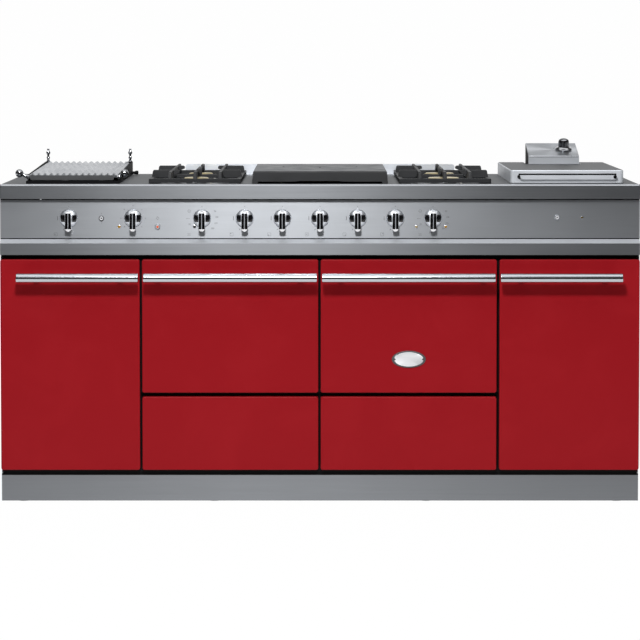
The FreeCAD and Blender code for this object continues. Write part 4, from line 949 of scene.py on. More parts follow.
class COOKER_OT_marks(bpy.types.Operator):
    """Printed ticks, plain numbers and small signs round the knobs"""

    bl_idname = "cooker.marks"
    bl_label = "Dial marks"

    INK = 0.00012

    def execute(self, context):
        bm = bmesh.new()
        for number, name in enumerate(TAP_KNOBS):
            self.tap_marks(bm, *knob_spot(name), number)
        self.timer_marks(bm, *knob_spot("timer_knob"))
        for name in OVEN_KNOBS:
            self.oven_marks(bm, *knob_spot(name))
        z, reach = 0.804, 0.0042
        x = -0.457
        self.path(bm, [(x + reach, z), (x, z + reach), (x - reach, z), (x, z - reach),
                       (x + reach, z)])
        for offset in (0.0135, -0.0135):
            self.dot(bm, -0.615, z + offset, 0.0008)
        make_piece("dial_marks", bm, ["ink"], "cooker")
        return {"FINISHED"}

    def stroke(self, bm, x0, z0, x1, z1, wide=0.0007):
        """A printed line between two points on the panel."""
        along = Vector((x1 - x0, z1 - z0))
        across = Vector((-along.y, along.x)).normalized() * wide / 2
        self.flat(bm, [(x0 + across.x, z0 + across.y), (x0 - across.x, z0 - across.y),
                       (x1 - across.x, z1 - across.y), (x1 + across.x, z1 + across.y)])

    def path(self, bm, points, wide=0.0007):
        for near, far in zip(points, points[1:]):
            self.stroke(bm, *near, *far, wide)

    def flat(self, bm, points):
        add_prism(bm, points, self.INK, facing(0, PANEL_Y, 0))

    def dot(self, bm, x, z, radius):
        self.flat(bm, arc(x, z, radius, 0, 330, 11))

    def tap_marks(self, bm, x, z, number):
        """Off dot, strokes for full and low, and a square with a dot at the burner's place."""
        self.dot(bm, x, z + 0.0335, 0.0010)
        self.stroke(bm, x - 0.0315, z - 0.0055, x - 0.0315, z + 0.0055, 0.0013)
        self.stroke(bm, x - 0.0155, z - 0.0335, x - 0.0125, z - 0.0295, 0.0011)
        plan_x, plan_z, reach, step = x - 0.037, z - 0.0455, 0.0044, 0.002
        corners = [(-reach, -reach), (reach, -reach), (reach, reach), (-reach, reach),
                   (-reach, -reach)]
        self.path(bm, [(plan_x + right, plan_z + up) for right, up in corners], 0.0005)
        right, up = [(-step, 0), (-step, step), (-step, -step), (0, 0), (step, -step),
                     (step, step)][number]
        self.dot(bm, plan_x + right, plan_z + up, 0.0012)

    def timer_marks(self, bm, x, z):
        near, far = 0.0325, 0.0365
        for step in range(7):
            if step == 3:
                self.dot(bm, x, z + 0.0355, 0.0011)
                continue
            angle = math.radians(90 - 45 * (step - 3))
            self.stroke(bm, x + near * math.cos(angle), z + near * math.sin(angle),
                        x + far * math.cos(angle), z + far * math.sin(angle), 0.0009)

    def oven_marks(self, bm, x, z):
        """Temperatures down the right side, and a few signs down the left."""
        self.dot(bm, x, z + 0.0335, 0.0010)
        reach = 0.0415
        for number, angle in (("50", 28), ("100", 4), ("150", -20), ("200", -44), ("250", -100)):
            turn = math.radians(angle)
            self.number(bm, number, x + reach * math.cos(turn), z + reach * math.sin(turn))
        sign_x, bold, fine = x - 0.036, 0.0009, 0.0005
        self.path(bm, arc(sign_x, z + 0.020, 0.0042, 0, 360, 16), 0.0006)
        self.stroke(bm, sign_x - 0.003, z + 0.020, sign_x + 0.003, z + 0.020)
        for offset in (-0.0035, 0, 0.0035):
            self.dot(bm, sign_x - 0.004 + offset, z - 0.001, bold)
        self.stroke(bm, sign_x - 0.002, z - 0.016, sign_x + 0.004, z - 0.016, bold)
        self.stroke(bm, sign_x - 0.002, z - 0.0185, sign_x + 0.004, z - 0.0185, fine)
        self.stroke(bm, x - 0.041, z - 0.0475, x - 0.032, z - 0.0475, bold)
        self.stroke(bm, x - 0.041, z - 0.0435, x - 0.032, z - 0.0435, fine)

    def number(self, bm, words, x, z):
        """Plain digits, turned into a mesh and laid on the panel."""
        curve = bpy.data.curves.new("digits", "FONT")
        curve.body = words
        curve.size = 0.0062
        curve.align_x = curve.align_y = "CENTER"
        curve.resolution_u = 3
        part = curve_shape(curve)
        raise_faces(part, part.faces[:], self.INK)
        bmesh.ops.remove_doubles(part, verts=part.verts, dist=1e-7)
        bmesh.ops.recalc_face_normals(part, faces=part.faces)
        join(bm, part, facing(x, PANEL_Y, z))


class COOKER_OT_rail(bpy.types.Operator):
    """Rail under the panel, whose top slopes back to the panel's foot"""

    bl_idname = "cooker.rail"
    bl_label = "Lower rail"

    def execute(self, context):
        low, high = BOX["lower_rail"]
        deep, tall = high.y - low.y, high.z - low.z
        recess, edge, foot, joint = PANEL_Y - low.y, 0.034, 0.0014, tall - 0.0028
        points = [(0, foot), (0, edge), (0.0003, edge + 0.0004), (recess - 0.0003, joint),
                  (recess - 0.0001, tall), (deep, tall), (deep, foot)]
        bm = bmesh.new()
        add_prism(bm, points, high.x - low.x, sideways(low))
        # Painted light: the sloping ledge takes a brighter, half-matt finish; the front keeps a
        # darker copy of the steel, as painted shade.
        paint(bm, 1, lambda normal, spot: 0.5 < normal.z < 0.9)
        # Painted shade: the small upright step at the back of the ledge, at the joint under the
        # panel, is painted black.
        paint(bm, 2, lambda normal, spot: normal.y < -0.9 and spot.z > low.z + joint)
        make_piece("rail_under_panel", bm, ["steel_rail", "steel_ledge", "trough_black"],
                   "cooker", ["lower_rail"])
        return {"FINISHED"}


class COOKER_OT_burners(bpy.types.Operator):
    """Burner cups with toothed crowns, brass caps and electrodes, and the grill's tubes"""

    bl_idname = "cooker.burners"
    bl_label = "Burners"

    def execute(self, context):
        body, caps = bmesh.new(), bmesh.new()
        well, pan, far = TOP_Z - 0.012, TOP_Z - 0.022, 0.355
        front, rear = BURNERS_Y
        for x, y, floor, crown, cap in (
                (-far, front, well, 0.030, 0.036), (-far, rear, well, 0.030, 0.036),
                (far, front, well, 0.038, 0.0455), (far, rear, well, 0.038, 0.045),
                (0, FRONT_Y + 0.295, pan, 0.048, 0.056)):
            self.base(body, x, y, floor, crown, cap)
            self.cap(caps, x, y, floor + 0.017, cap)
        self.tubes(body)
        make_piece("burner_bodies", body, ["burner_metal", "ceramic", "chrome"], "cooker",
                   ["burner_bases"])
        make_piece("burner_cap_set", caps, ["brass"], "cooker", ["burner_caps"])
        return {"FINISHED"}

    def base(self, bm, x, y, floor, crown, cap):
        place = Matrix.Translation((x, y, floor))
        add_lathe(bm, [(0, -0.034), (0.008, -0.034), (0.008, -0.028), (0.0235, -0.028),
                       (0.0235, 0), (crown, 0), (crown, 0.003), (crown - 0.002, 0.004),
                       (crown - 0.003, 0.0045), (crown - 0.003, 0.0168), (0, 0.0168)],
                  place, 64)
        ports = 28
        for step in range(ports):
            part = bmesh.new()
            add_box(part, (crown - 0.0034, -0.0016, 0.0060), (crown - 0.0012, 0.0016, 0.0162))
            join(bm, part, place @ Matrix.Rotation(math.tau * step / ports, 4, "Z"))
        paint(bm, 0)
        spark, sleeve = x + cap + 0.005, floor + 0.013
        add_rod(bm, (spark, y, floor), (spark, y, sleeve), 0.003, 20, 0.0006)
        paint(bm, 1)
        add_rod(bm, (spark, y, sleeve), (spark, y, floor + 0.019), 0.0011, 12)
        paint(bm, 2)

    def cap(self, bm, x, y, foot, radius):
        add_lathe(bm, [(0, 0), (radius - 0.0014, 0), (radius - 0.0003, 0.0006),
                       (radius, 0.0018), (radius - 0.0003, 0.0036), (radius - 0.0014, 0.0050),
                       (radius - 0.004, 0.0064), (radius * 0.8, 0.0067),
                       (radius * 0.78, 0.0063), (radius * 0.74, 0.0063),
                       (radius * 0.72, 0.0068), (radius * 0.3, 0.0070), (0, 0.0070)],
                  Matrix.Translation((x, y, foot)), 72)

    def tubes(self, bm):
        """Two tube burners under the ribbed plate, joined at the front."""
        z, front, long = 0.890, FRONT_Y + 0.100, 0.420
        for side in SIDES.values():
            x = GRILL_X + side * 0.055
            add_rod(bm, (x, front, z), (x, front + long, z), 0.007, 24, 0.0015)
        add_rod(bm, (GRILL_X - 0.066, front + 0.012, z), (GRILL_X + 0.066, front + 0.012, z),
                0.008, 24, 0.0015)


class COOKER_OT_wells(bpy.types.Operator):
    """Pressed wells under the grates and the pan under the simmer plate"""

    bl_idname = "cooker.wells"
    bl_label = "Hob wells"

    def execute(self, context):
        low, high = BOX["burner_trays"]
        near, far, pan = 0.223, high.x, 0.165
        bm = bmesh.new()
        for x0, x1 in ((-far, -near), (near, far)):
            self.well(bm, x0, x1, low.y, high.y, TOP_Z + 0.001, 0.0128, 0.0055)
        self.well(bm, -pan, pan, FRONT_Y + 0.060, FRONT_Y + 0.530, TOP_Z, 0.022, 0.0)
        make_piece("pressed_wells", bm, ["steel_well"], "cooker",
                   ["burner_trays"])
        return {"FINISHED"}

    def well(self, bm, x0, x1, y0, y1, rim_z, drop, lip):
        """A sunk sheet with rounded corners, and a flat lip where one is asked for."""
        part = bmesh.new()
        bmesh.ops.create_grid(part, x_segments=1, y_segments=1, size=0.5,
                              matrix=Matrix.Translation(((x0 + x1) / 2, (y0 + y1) / 2, rim_z))
                              @ Matrix.Diagonal((x1 - x0, y1 - y0, 1, 1)))
        bmesh.ops.bevel(part, geom=part.verts[:], offset=0.010, affect="VERTICES", segments=5,
                        profile=0.5, material=-1)
        face = part.faces[:]
        if lip > 0:
            bmesh.ops.inset_region(part, faces=face, thickness=lip)
        for inward, down in ((0.002, 0.002), (0.001, drop - 0.004), (0.003, 0.002)):
            bmesh.ops.inset_region(part, faces=face, thickness=inward, depth=-down)
        bmesh.ops.recalc_face_normals(part, faces=part.faces)
        bmesh.ops.solidify(part, geom=part.faces[:], thickness=0.0008)
        join(bm, part)


class COOKER_OT_grates(bpy.types.Operator):
    """Cast grates with tapered fingers over each pair of burners"""

    bl_idname = "cooker.grates"
    bl_label = "Grates"

    def execute(self, context):
        for name in SIDES:
            self.grate(name, context.scene.cooker_sizes.iron_edge)
        return {"FINISHED"}

    def grate(self, name, edge):
        low, high = BOX[f"{name}_grate"]
        middle = (low.x + high.x) / 2
        top, under, bar, inset = TOP_Z + 0.014, TOP_Z + 0.002, 0.012, 0.0008
        bm = bmesh.new()
        for y0, y1 in ((low.y, low.y + bar), (high.y - bar, high.y)):
            self.rail(bm, low.x, high.x, y0, y1, under, top, edge)
        for x0, x1 in ((low.x, low.x + bar), (high.x - bar, high.x)):
            add_box(bm, (x0, low.y + bar / 2, under + 0.0003),
                    (x1, high.y - bar / 2, top - 0.0003), edge)
        first, last = BURNERS_Y
        cross_y = (first + last) / 2
        add_box(bm, (low.x + 0.001, cross_y - 0.006, under + 0.0006),
                (high.x - 0.001, cross_y + 0.006, top), edge)
        for x in (middle - 0.071, middle + 0.071):
            self.finger(bm, (x, low.y + inset), (x, high.y - inset), "cc", edge)
        for y in (first, last):
            self.finger(bm, (low.x + inset, y), (middle - 0.0495, y), "cn", edge)
            self.finger(bm, (high.x - inset, y), (middle + 0.0495, y), "cn", edge)
        for near, far, ends in ((low.y + inset, first - 0.050, "cn"),
                                (first + 0.046, last - 0.046, "nn"),
                                (high.y - inset, last + 0.046, "cn")):
            self.finger(bm, (middle, near), (middle, far), ends, edge)
        for x in (low.x, high.x - 0.036):
            for y in (low.y, high.y - bar):
                add_box(bm, (x + 0.001, y + 0.001, TOP_Z + 0.001),
                        (x + 0.035, y + bar - 0.001, under + 0.002), 0.0004)
        make_piece(f"{name}_casting", bm, ["iron"], f"{name}_grate",
                   [f"{name}_grate"])

    def rail(self, bm, x0, x1, y0, y1, foot, top, edge):
        """Front or back rail: cut corners at its ends and a notch under its middle."""
        wide, tall, cut_back, notch, up = x1 - x0, top - foot, 0.0045, 0.007, 0.003
        points = [(0, 0), (wide / 2 - notch, 0), (wide / 2 - notch, up), (wide / 2 + notch, up),
                  (wide / 2 + notch, 0), (wide, 0), (wide - 0.0025, tall - 0.002),
                  (wide - cut_back, tall), (cut_back, tall), (0.0025, tall - 0.002)]
        part = bmesh.new()
        add_prism(part, points, y1 - y0)
        round_edges(part, part.edges[:], edge * 0.7)
        join(bm, part, facing(x0, y1, foot))

    def finger(self, bm, near, far, ends, edge):
        """A cast finger. Each end is c, a cut corner over a rail, or n, a nose at a burner."""
        near, far = Vector((*near, 0)), Vector((*far, 0))
        along = (far - near).normalized()
        across = along.cross(Vector((0, 0, 1)))
        long, rise, thick = (far - near).length, 0.022, 0.011
        nose, ramp, soft = rise - 0.009, 0.034, rise - 0.003
        if ends[0] == "n":
            points, last = [(0, nose), (ramp, 0)], [(0.004, rise), (0, soft)]
        else:
            points, last = [(0, 0)], [(0.006, rise), (0.0035, soft)]
        if ends[1] == "n":
            points += [(long - ramp, 0), (long, nose), (long, soft), (long - 0.004, rise)]
        else:
            points += [(long, 0), (long - 0.0035, soft), (long - 0.006, rise)]
        part = bmesh.new()
        add_prism(part, points + last, thick)
        for vert in part.verts:
            thinner = 1 - 0.3 * vert.co.y / rise
            vert.co.z = thick / 2 + (vert.co.z - thick / 2) * thinner
        round_edges(part, part.edges[:], edge * 0.8)
        corner = near - across * (thick / 2) + Vector((0, 0, TOP_Z + 0.011))
        turn = Matrix((along, (0, 0, 1), across)).transposed().to_4x4()
        join(bm, part, Matrix.Translation(corner) @ turn)


class COOKER_OT_simmer_plate(bpy.types.Operator):
    """Cast simmer plate: drafted sides, a long slot along its foot and a ringed middle"""

    bl_idname = "cooker.simmer_plate"
    bl_label = "Simmer plate"

    def execute(self, context):
        low, high = BOX["simmer_plate"]
        draft, wall = 0.003, 0.012
        top = bmesh.new()
        add_box(top, low, high)
        for vert in top.verts:
            if vert.co.z > (low.z + high.z) / 2:
                vert.co.x -= math.copysign(draft, vert.co.x)
                vert.co.y += draft if vert.co.y < 0 else -draft
        foot = end_face(top, 2, min)
        bmesh.ops.inset_region(top, faces=[foot], thickness=wall)
        bmesh.ops.translate(top, vec=(0, 0, high.z - low.z - wall), verts=foot.verts)
        round_edges(top, edges_where(top, lambda spot: spot.z > high.z - NEAR), 0.0035, 4)
        bmesh.ops.recalc_face_normals(top, faces=top.faces)
        bm = self.carve(self.holder(top), self.holder(self.slot(low, high)))
        middle = ((low.x + high.x) / 2, (low.y + high.y) / 2)
        for radius in (0.105, 0.107):
            self.ring(bm, middle, high.z, radius)
        paint(bm, 1, lambda normal, spot: normal.z > 0.9 and spot.z > high.z - 0.001)
        for x, deep in ((-0.107, 0.290), (0.107, 0.290), (0, 0.230)):
            add_lathe(bm, [(0, 0.0012), (0.0022, 0.001), (0.003, 0.0002), (0.003, -0.0005)],
                      Matrix.Translation((x, low.y + deep, high.z)), 24)
        make_piece("simmer_casting", bm, ["iron", "machined_iron"], "simmer_plate",
                   ["simmer_plate"])
        return {"FINISHED"}

    def holder(self, bm):
        mesh = bpy.data.meshes.new("blank")
        bm.to_mesh(mesh)
        bm.free()
        return add_object("blank", mesh)

    def slot(self, low, high):
        """The slot, a little higher in its middle, as one cutting shape."""
        half, left, right, tall, raised, past = 0.176, -0.067, 0.060, 0.0057, 0.0075, 0.01
        corner, slant = 0.003, 0.004
        outline = [(-half, -past)] + arc(corner - half, tall - corner, corner, 180, 90, 4)
        outline += [(left, tall), (left + slant, raised), (right - slant, raised), (right, tall)]
        outline += arc(half - corner, tall - corner, corner, 90, 0, 4) + [(half, -past)]
        bm = bmesh.new()
        add_prism(bm, outline, high.y - low.y + 2 * past, facing(0, high.y + past, low.z))
        return bm

    def carve(self, blank, cutter):
        modifier = blank.modifiers.new("slot", "BOOLEAN")
        modifier.object = cutter
        modifier.operation = "DIFFERENCE"
        modifier.solver = "EXACT"
        bpy.context.view_layer.update()
        graph = bpy.context.evaluated_depsgraph_get()
        bm = bmesh.new()
        bm.from_mesh(bpy.data.meshes.new_from_object(blank.evaluated_get(graph)))
        for thing in (blank, cutter):
            bpy.data.objects.remove(thing)
        return bm

    def ring(self, bm, middle, z, radius):
        """A fine raised ring on the top."""
        half, rise = 0.0003, 0.00025
        add_lathe(bm, [(radius - 2 * half, 0), (radius - half, rise), (radius + half, rise),
                       (radius + 2 * half, 0)], Matrix.Translation((*middle, z - 0.0002)), 96)


class COOKER_OT_grill(bpy.types.Operator):
    """Ribbed plate, its trough, ball grips, posts and rod"""

    bl_idname = "cooker.grill"
    bl_label = "Ribbed grill"

    OVER = 0.028

    def execute(self, context):
        pivot = Vector(JOINTS["grill_plate"]["pos_m"])
        lean = (Matrix.Translation(pivot) @ Matrix.Rotation(math.radians(1.5), 4, "X")
                @ Matrix.Translation(-pivot))
        self.plate(lean, pivot)
        self.balls(lean, pivot)
        self.posts(pivot)
        dress("grill_frame", "trough_black")
        return {"FINISHED"}

    def plate(self, lean, pivot):
        """The plate's soft ribs, its front lip and the ears that hold the rod.

        It falls to the front, about the rod that it turns on.
        """
        half, front, rear = 0.1245, FRONT_Y + 0.060, FRONT_Y + 0.568
        under, over, pitch, ribs, steps = 0.022, self.OVER, 0.0177, 14, 10
        points = [(-half, under), (half, under), (half, over)]
        for step in range(ribs * steps, -1, -1):
            wave = 0.5 - 0.5 * math.cos(math.tau * step / steps)
            points.append(((step / steps - ribs / 2) * pitch, over + 0.006 * wave ** 0.8))
        points.append((-half, over))
        part = bmesh.new()
        add_prism(part, points, rear - front, facing(pivot.x, rear, pivot.z))
        cut(part, (0, front + 0.010, 0), (0, 1, 0))
        for vert in part.verts:
            above = vert.co.z - pivot.z - over
            if above > 0 and vert.co.y < front + 0.005:
                vert.co.z -= above * 0.85
        paint(part, 0)
        # Painted shade: the front lip takes the darker copy of the grill metal.
        lip = arc(-0.1165, over - 0.009, 0.005, 180, 270, 5)
        lip += arc(0.1105, over - 0.009, 0.005, 270, 360, 5)
        lip += [(0.1155, over - 0.0005), (-0.1215, over - 0.0005)]
        add_prism(part, lip, 0.0083, facing(pivot.x, front + 0.008, pivot.z), 0.0008)
        paint(part, 1)
        for side in SIDES.values():
            x = pivot.x + side * 0.110
            add_box(part, (x - 0.005, pivot.y - 0.009, pivot.z - 0.007),
                    (x + 0.005, pivot.y + 0.0079, pivot.z + under + 0.002), 0.0012)
        bm = bmesh.new()
        join(bm, part, lean)
        make_piece("ribbed_plate", bm, ["grill_metal", "grill_lip"], "grill_plate",
                   ["grill_plate"])

    def balls(self, lean, pivot):
        """Ball grips on short flared stems that lean out over the trough's sides."""
        y, over, radius = FRONT_Y + 0.069, pivot.z + self.OVER, 0.0117
        part = bmesh.new()
        for side, reach in ((-1, 0.1525), (1, 0.1445)):
            foot = Vector((pivot.x + side * 0.1245, y, over - 0.007))
            stem = Vector((pivot.x + side * reach, y, over + 0.005)) - foot
            profile = [(0, 0), (0.0076, 0), (0.0078, 0.001), (0.0062, 0.0035),
                       (0.005, 0.0075), (0.0046, stem.length - 0.0115)]
            add_lathe(part, profile + bulge(stem.length, radius, 156, 0, 20), upright(foot, stem))
        bm = bmesh.new()
        join(bm, part, lean)
        # Painted shade: the grips take chrome toned darker, standing for dark reflections.
        make_piece("ball_grips", bm, ["dark_chrome"], "grill_plate",
                   ["grill_lift_balls"])

    def posts(self, pivot):
        """Turned posts at the back corners, and the cap on the end of the rod."""
        low, high = BOX["grill_posts"]
        middle = (low + high) / 2
        profile = [(0, 0), (0.0055, 0), (0.0056, 0.0008), (0.0056, 0.0026), (0.0038, 0.0036)]
        profile += bulge(0.0115, 0.0053, 140, 40, 12) + [(0.0032, 0.0175), (0.0032, 0.0205)]
        profile += bulge(0.0265, 0.0065, 145, 30, 14)
        profile += [(0.0030, 0.0330), (0.0038, 0.0345), (0.0038, 0.0378), (0.0030, 0.0389),
                    (0, 0.0390)]
        bm = bmesh.new()
        for side in SIDES.values():
            place = Matrix.Translation((middle.x + side * 0.124, middle.y, low.z))
            add_lathe(bm, profile, place, 36)
        paint(bm, 0)
        rod_end = BOX["grill_frame"][1].x + 0.0005
        knob = [(0, 0), (0.0034, 0), (0.0034, 0.0085)] + bulge(0.0133, 0.0062, 143, 0, 14)
        add_lathe(bm, knob, Matrix.Translation((rod_end, pivot.y, pivot.z))
                  @ Matrix.Rotation(QUARTER, 4, "Y"), 32)
        paint(bm, 1)
        # Painted shade: the posts take chrome toned darker, standing for dark reflections.
        make_piece("turned_posts", bm, ["dark_chrome", "trough_black"], "cooker",
                   ["grill_posts"])


class COOKER_OT_fryer(bpy.types.Operator):
    """Fryer lid with its wire handle, and the control head with its ticks"""

    bl_idname = "cooker.fryer"
    bl_label = "Fryer"

    def execute(self, context):
        self.lid(context.scene.cooker_sizes.sheet)
        self.wire()
        self.head()
        # Painted shade: the tank's sides and top take darker copies of the steel.
        dress("fryer_tank", "steel_edge", "steel_top")
        return {"FINISHED"}

    def lid(self, sheet):
        """Shallow folded lid, notched at the back for the head."""
        low, high = BOX["fryer_lid"]
        head_low, head_high = BOX["fryer_head"]
        play, corner = 0.005, 0.010
        x0, x1, y = head_low.x - play, head_high.x + play, head_low.y - play
        points = arc(low.x + corner, low.y + corner, corner, 180, 270, 6)
        points += arc(high.x - corner, low.y + corner, corner, 270, 360, 6)
        points += arc(high.x - corner, high.y - corner, corner, 0, 90, 6)
        points += [(x1, high.y), (x1, y), (x0, y), (x0, high.y)]
        points += arc(low.x + corner, high.y - corner, corner, 90, 180, 6)
        bm = bmesh.new()
        add_prism(bm, points, high.z - low.z, Matrix.Translation((0, 0, low.z)), 0.003, 4)
        bmesh.ops.delete(bm, geom=[end_face(bm, 2, min)], context="FACES_ONLY")
        bmesh.ops.recalc_face_normals(bm, faces=bm.faces)
        bmesh.ops.solidify(bm, geom=bm.faces[:], thickness=sheet * 0.7)
        # Painted dark reflection on the top, which takes a dark copy of the steel; painted light
        # on the front and sides, which take a brighter half-matt one.
        paint(bm, 1, lambda normal, spot: normal.z > 0.95)
        make_piece("folded_lid", bm, ["steel_lid", "steel_lid_top"], "fryer_lid",
                   ["fryer_lid"])

    def wire(self):
        """Bent wire handle on two collars."""
        foot_z, bar_z, wire, bend = 0.919, 0.927, 0.0023, 0.007
        x0, x1, back, front = 0.562, 0.834, BOX["fryer_lid_handle"][1].y, FRONT_Y + 0.028
        curve = bpy.data.curves.new("wire", "CURVE")
        curve.dimensions = "3D"
        curve.bevel_depth = wire
        curve.bevel_resolution = 5
        curve.use_fill_caps = True
        bends = arc(x0 + bend, front + bend, bend, 180, 270, 6)
        bends += arc(x1 - bend, front + bend, bend, 270, 360, 6)
        route = [(x0, back, foot_z)] + [(x, y, bar_z) for x, y in bends] + [(x1, back, foot_z)]
        spline = curve.splines.new("POLY")
        spline.points.add(len(route) - 1)
        for point, spot in zip(spline.points, route):
            point.co = (*spot, 1)
        bm = curve_shape(curve)
        for x in (x0, x1):
            add_lathe(bm, [(wire, 0.005), (0.0036, 0.0045), (0.0044, 0.002), (0.0046, 0),
                           (0, 0)], facing(x, back, foot_z), 36)
        make_piece("lid_wire", bm, ["black_frame"], "fryer_lid",
                   ["fryer_lid_handle"])

    def head(self):
        """Folded head with dark sides, a sloping top and ticks round its knob."""
        low, high = BOX["fryer_head"]
        fold, deep, tall = 0.962 - low.z, high.y - low.y, high.z - low.z
        part = bmesh.new()
        add_prism(part, [(0, 0), (deep, 0), (deep, tall), (0, fold)], high.x - low.x)
        round_edges(part, edges_where(part, lambda spot: spot.y > 1e-4), 0.0022, 3)
        bm = bmesh.new()
        join(bm, part, sideways(low))
        paint(bm, 1, lambda normal, spot: abs(normal.x) > 0.95)
        # Painted light: the sloping top takes a brighter copy of the steel, and the front, left
        # unpainted here, a brighter half-matt one.
        paint(bm, 3, lambda normal, spot: normal.z > 0.3)
        paint(bm, 0)
        # Painted shade: a thin black strip along the top of the front, just under the fold.
        line = low.z + fold - 0.0042
        add_box(bm, (low.x + 0.001, low.y - 0.0002, line),
                (high.x - 0.001, low.y + 0.001, line + 0.0014))
        paint(bm, 1)
        for step in range(10):
            part = bmesh.new()
            add_box(part, (0.0285, -0.0005, -0.0002), (0.0325, 0.0005, 0.00015))
            spin = Matrix.Rotation(math.radians(45 + 30 * step), 4, "Z")
            join(bm, part, fryer_knob_place(0) @ spin)
        paint(bm, 2)
        make_piece("fryer_control_head", bm,
                   ["steel_head", "trough_black", "ink", "steel_slope"], "cooker",
                   ["fryer_head"])


class COOKER_OT_ovens(bpy.types.Operator):
    """Oven racks of bent wire, and the finishes of the other parts of the ovens"""

    bl_idname = "cooker.ovens"
    bl_label = "Ovens"

    def execute(self, context):
        for side in SIDES:
            dress(f"{side}_oven_cavity", "speckled_enamel")
        dress("oven_fans", "zinc_coating")
        dress("heating_elements", "element")
        dress("oven_door_seals", "rubber")
        self.racks()
        return {"FINISHED"}

    def racks(self):
        low, high = BOX["oven_racks"]
        z, gap, wires = (low.z + high.z) / 2, 0.025, 24
        border, wire = 0.0028, 0.0018
        bm = bmesh.new()
        for x0, x1 in ((low.x, -gap), (gap, high.x)):
            left, right, y0, y1 = x0 + border, x1 - border, low.y + border, high.y - border
            corners = [(left, y0, z), (right, y0, z), (right, y1, z), (left, y1, z),
                       (left, y0, z)]
            for near, far in zip(corners, corners[1:]):
                add_rod(bm, near, far, border, 16)
                bmesh.ops.create_uvsphere(bm, u_segments=16, v_segments=8, radius=border,
                                          matrix=Matrix.Translation(near))
            for number in range(1, wires):
                x = x0 + (x1 - x0) * number / wires
                add_rod(bm, (x, y0, z), (x, y1, z), wire, 10)
        make_piece("wire_racks", bm, ["chrome"], "cooker", ["oven_racks"])


class COOKER_OT_carcass(bpy.types.Operator):
    """Finishes of the upstand, panels, front frame and the parts inside"""

    bl_idname = "cooker.carcass"
    bl_label = "Carcass"

    PLAIN = {
        # The upstand takes a brighter copy of the steel, as painted light.
        "rear_upstand": "steel_bright", "control_panel": "steel_front",
        "side_panels": "steel_side", "front_frame": "black_frame", "chassis": "zinc_coating",
        "cupboard_shelves": "zinc_coating", "adjustable_feet": "zinc_coating",
        "drawer_runners": "zinc_coating", "hinge_pins": "black_frame",
        "gas_manifold": "zinc_coating", "gas_taps": "brass", "thermostats": "zinc_coating",
    }

    def execute(self, context):
        for node, label in self.PLAIN.items():
            dress(node, label)
        return {"FINISHED"}


class COOKER_OT_panel_ends(bpy.types.Operator):
    """Folded ends that close the control panel towards the side panels"""

    bl_idname = "cooker.panel_ends"
    bl_label = "Panel ends"

    def execute(self, context):
        low, high = BOX["control_panel"]
        roof, sheet = BOX["worktop"][0].z, 0.0015
        bm = bmesh.new()
        for side in SIDES.values():
            x0, x1 = sorted((side * (high.x - sheet), side * high.x))
            add_box(bm, (x0, PANEL_Y + 0.0005, low.z), (x1, high.y, roof))
        make_piece("panel_end_folds", bm, ["steel_side"], "cooker")
        return {"FINISHED"}


class COOKER_OT_plinth(bpy.types.Operator):
    """Plinth with a black strip painted along its top, under the doors, as painted shade"""

    bl_idname = "cooker.plinth"
    bl_label = "Plinth"

    def execute(self, context):
        strip = BOX["plinth"][1].z - 0.0042
        bm = frame_shape("plinth")
        cut(bm, (0, 0, strip), (0, 0, 1))
        # Painted shade: the strip under the doors is painted black, and the rest takes a darker
        # copy of the steel.
        paint(bm, 1, lambda normal, spot: spot.z > strip)
        make_piece("kick_plate", bm, ["steel_edge", "black_frame"], "cooker",
                   ["plinth"])
        return {"FINISHED"}


class COOKER_OT_worktop(bpy.types.Operator):
    """Worktop with its front and side edges rolled over"""

    bl_idname = "cooker.worktop"
    bl_label = "Worktop"

    def execute(self, context):
        low, high = BOX["worktop"]
        roll = 0.004
        bm = frame_shape("worktop")
        bmesh.ops.dissolve_limit(bm, angle_limit=0.01, verts=bm.verts, edges=bm.edges)
        for spot, across in (((0, 0, high.z - roll), (0, 0, 1)), ((0, low.y + roll, 0), (0, 1, 0)),
                             ((high.x - roll, 0, 0), (1, 0, 0)),
                             ((roll - high.x, 0, 0), (1, 0, 0))):
            cut(bm, spot, across)
        for vert in bm.verts:
            at_front = vert.co.y < low.y + NEAR
            at_side = abs(vert.co.x) > high.x - NEAR
            if vert.co.z > high.z - NEAR and (at_front or at_side):
                vert.co.z -= roll / 2
                vert.co.y += roll / 2 * at_front
                vert.co.x -= math.copysign(roll / 2, vert.co.x) * at_side
        bmesh.ops.dissolve_degenerate(bm, dist=WELD, edges=bm.edges)
        # Painted shade and painted dark reflection: the top takes a darker copy of the steel, and
        # the faces left over, the band among them, another darker copy.
        paint(bm, 1, lambda normal, spot: normal.z > 0.95)
        # Painted highlight: the slanted faces of the front roll take a brighter, half-matt finish.
        paint(bm, 2, lambda normal, spot: normal.z > 0.1 and normal.y < -0.1)
        make_piece("folded_worktop", bm, ["steel_edge", "steel_top", "steel_ledge"], "cooker",
                   ["worktop"])
        return {"FINISHED"}


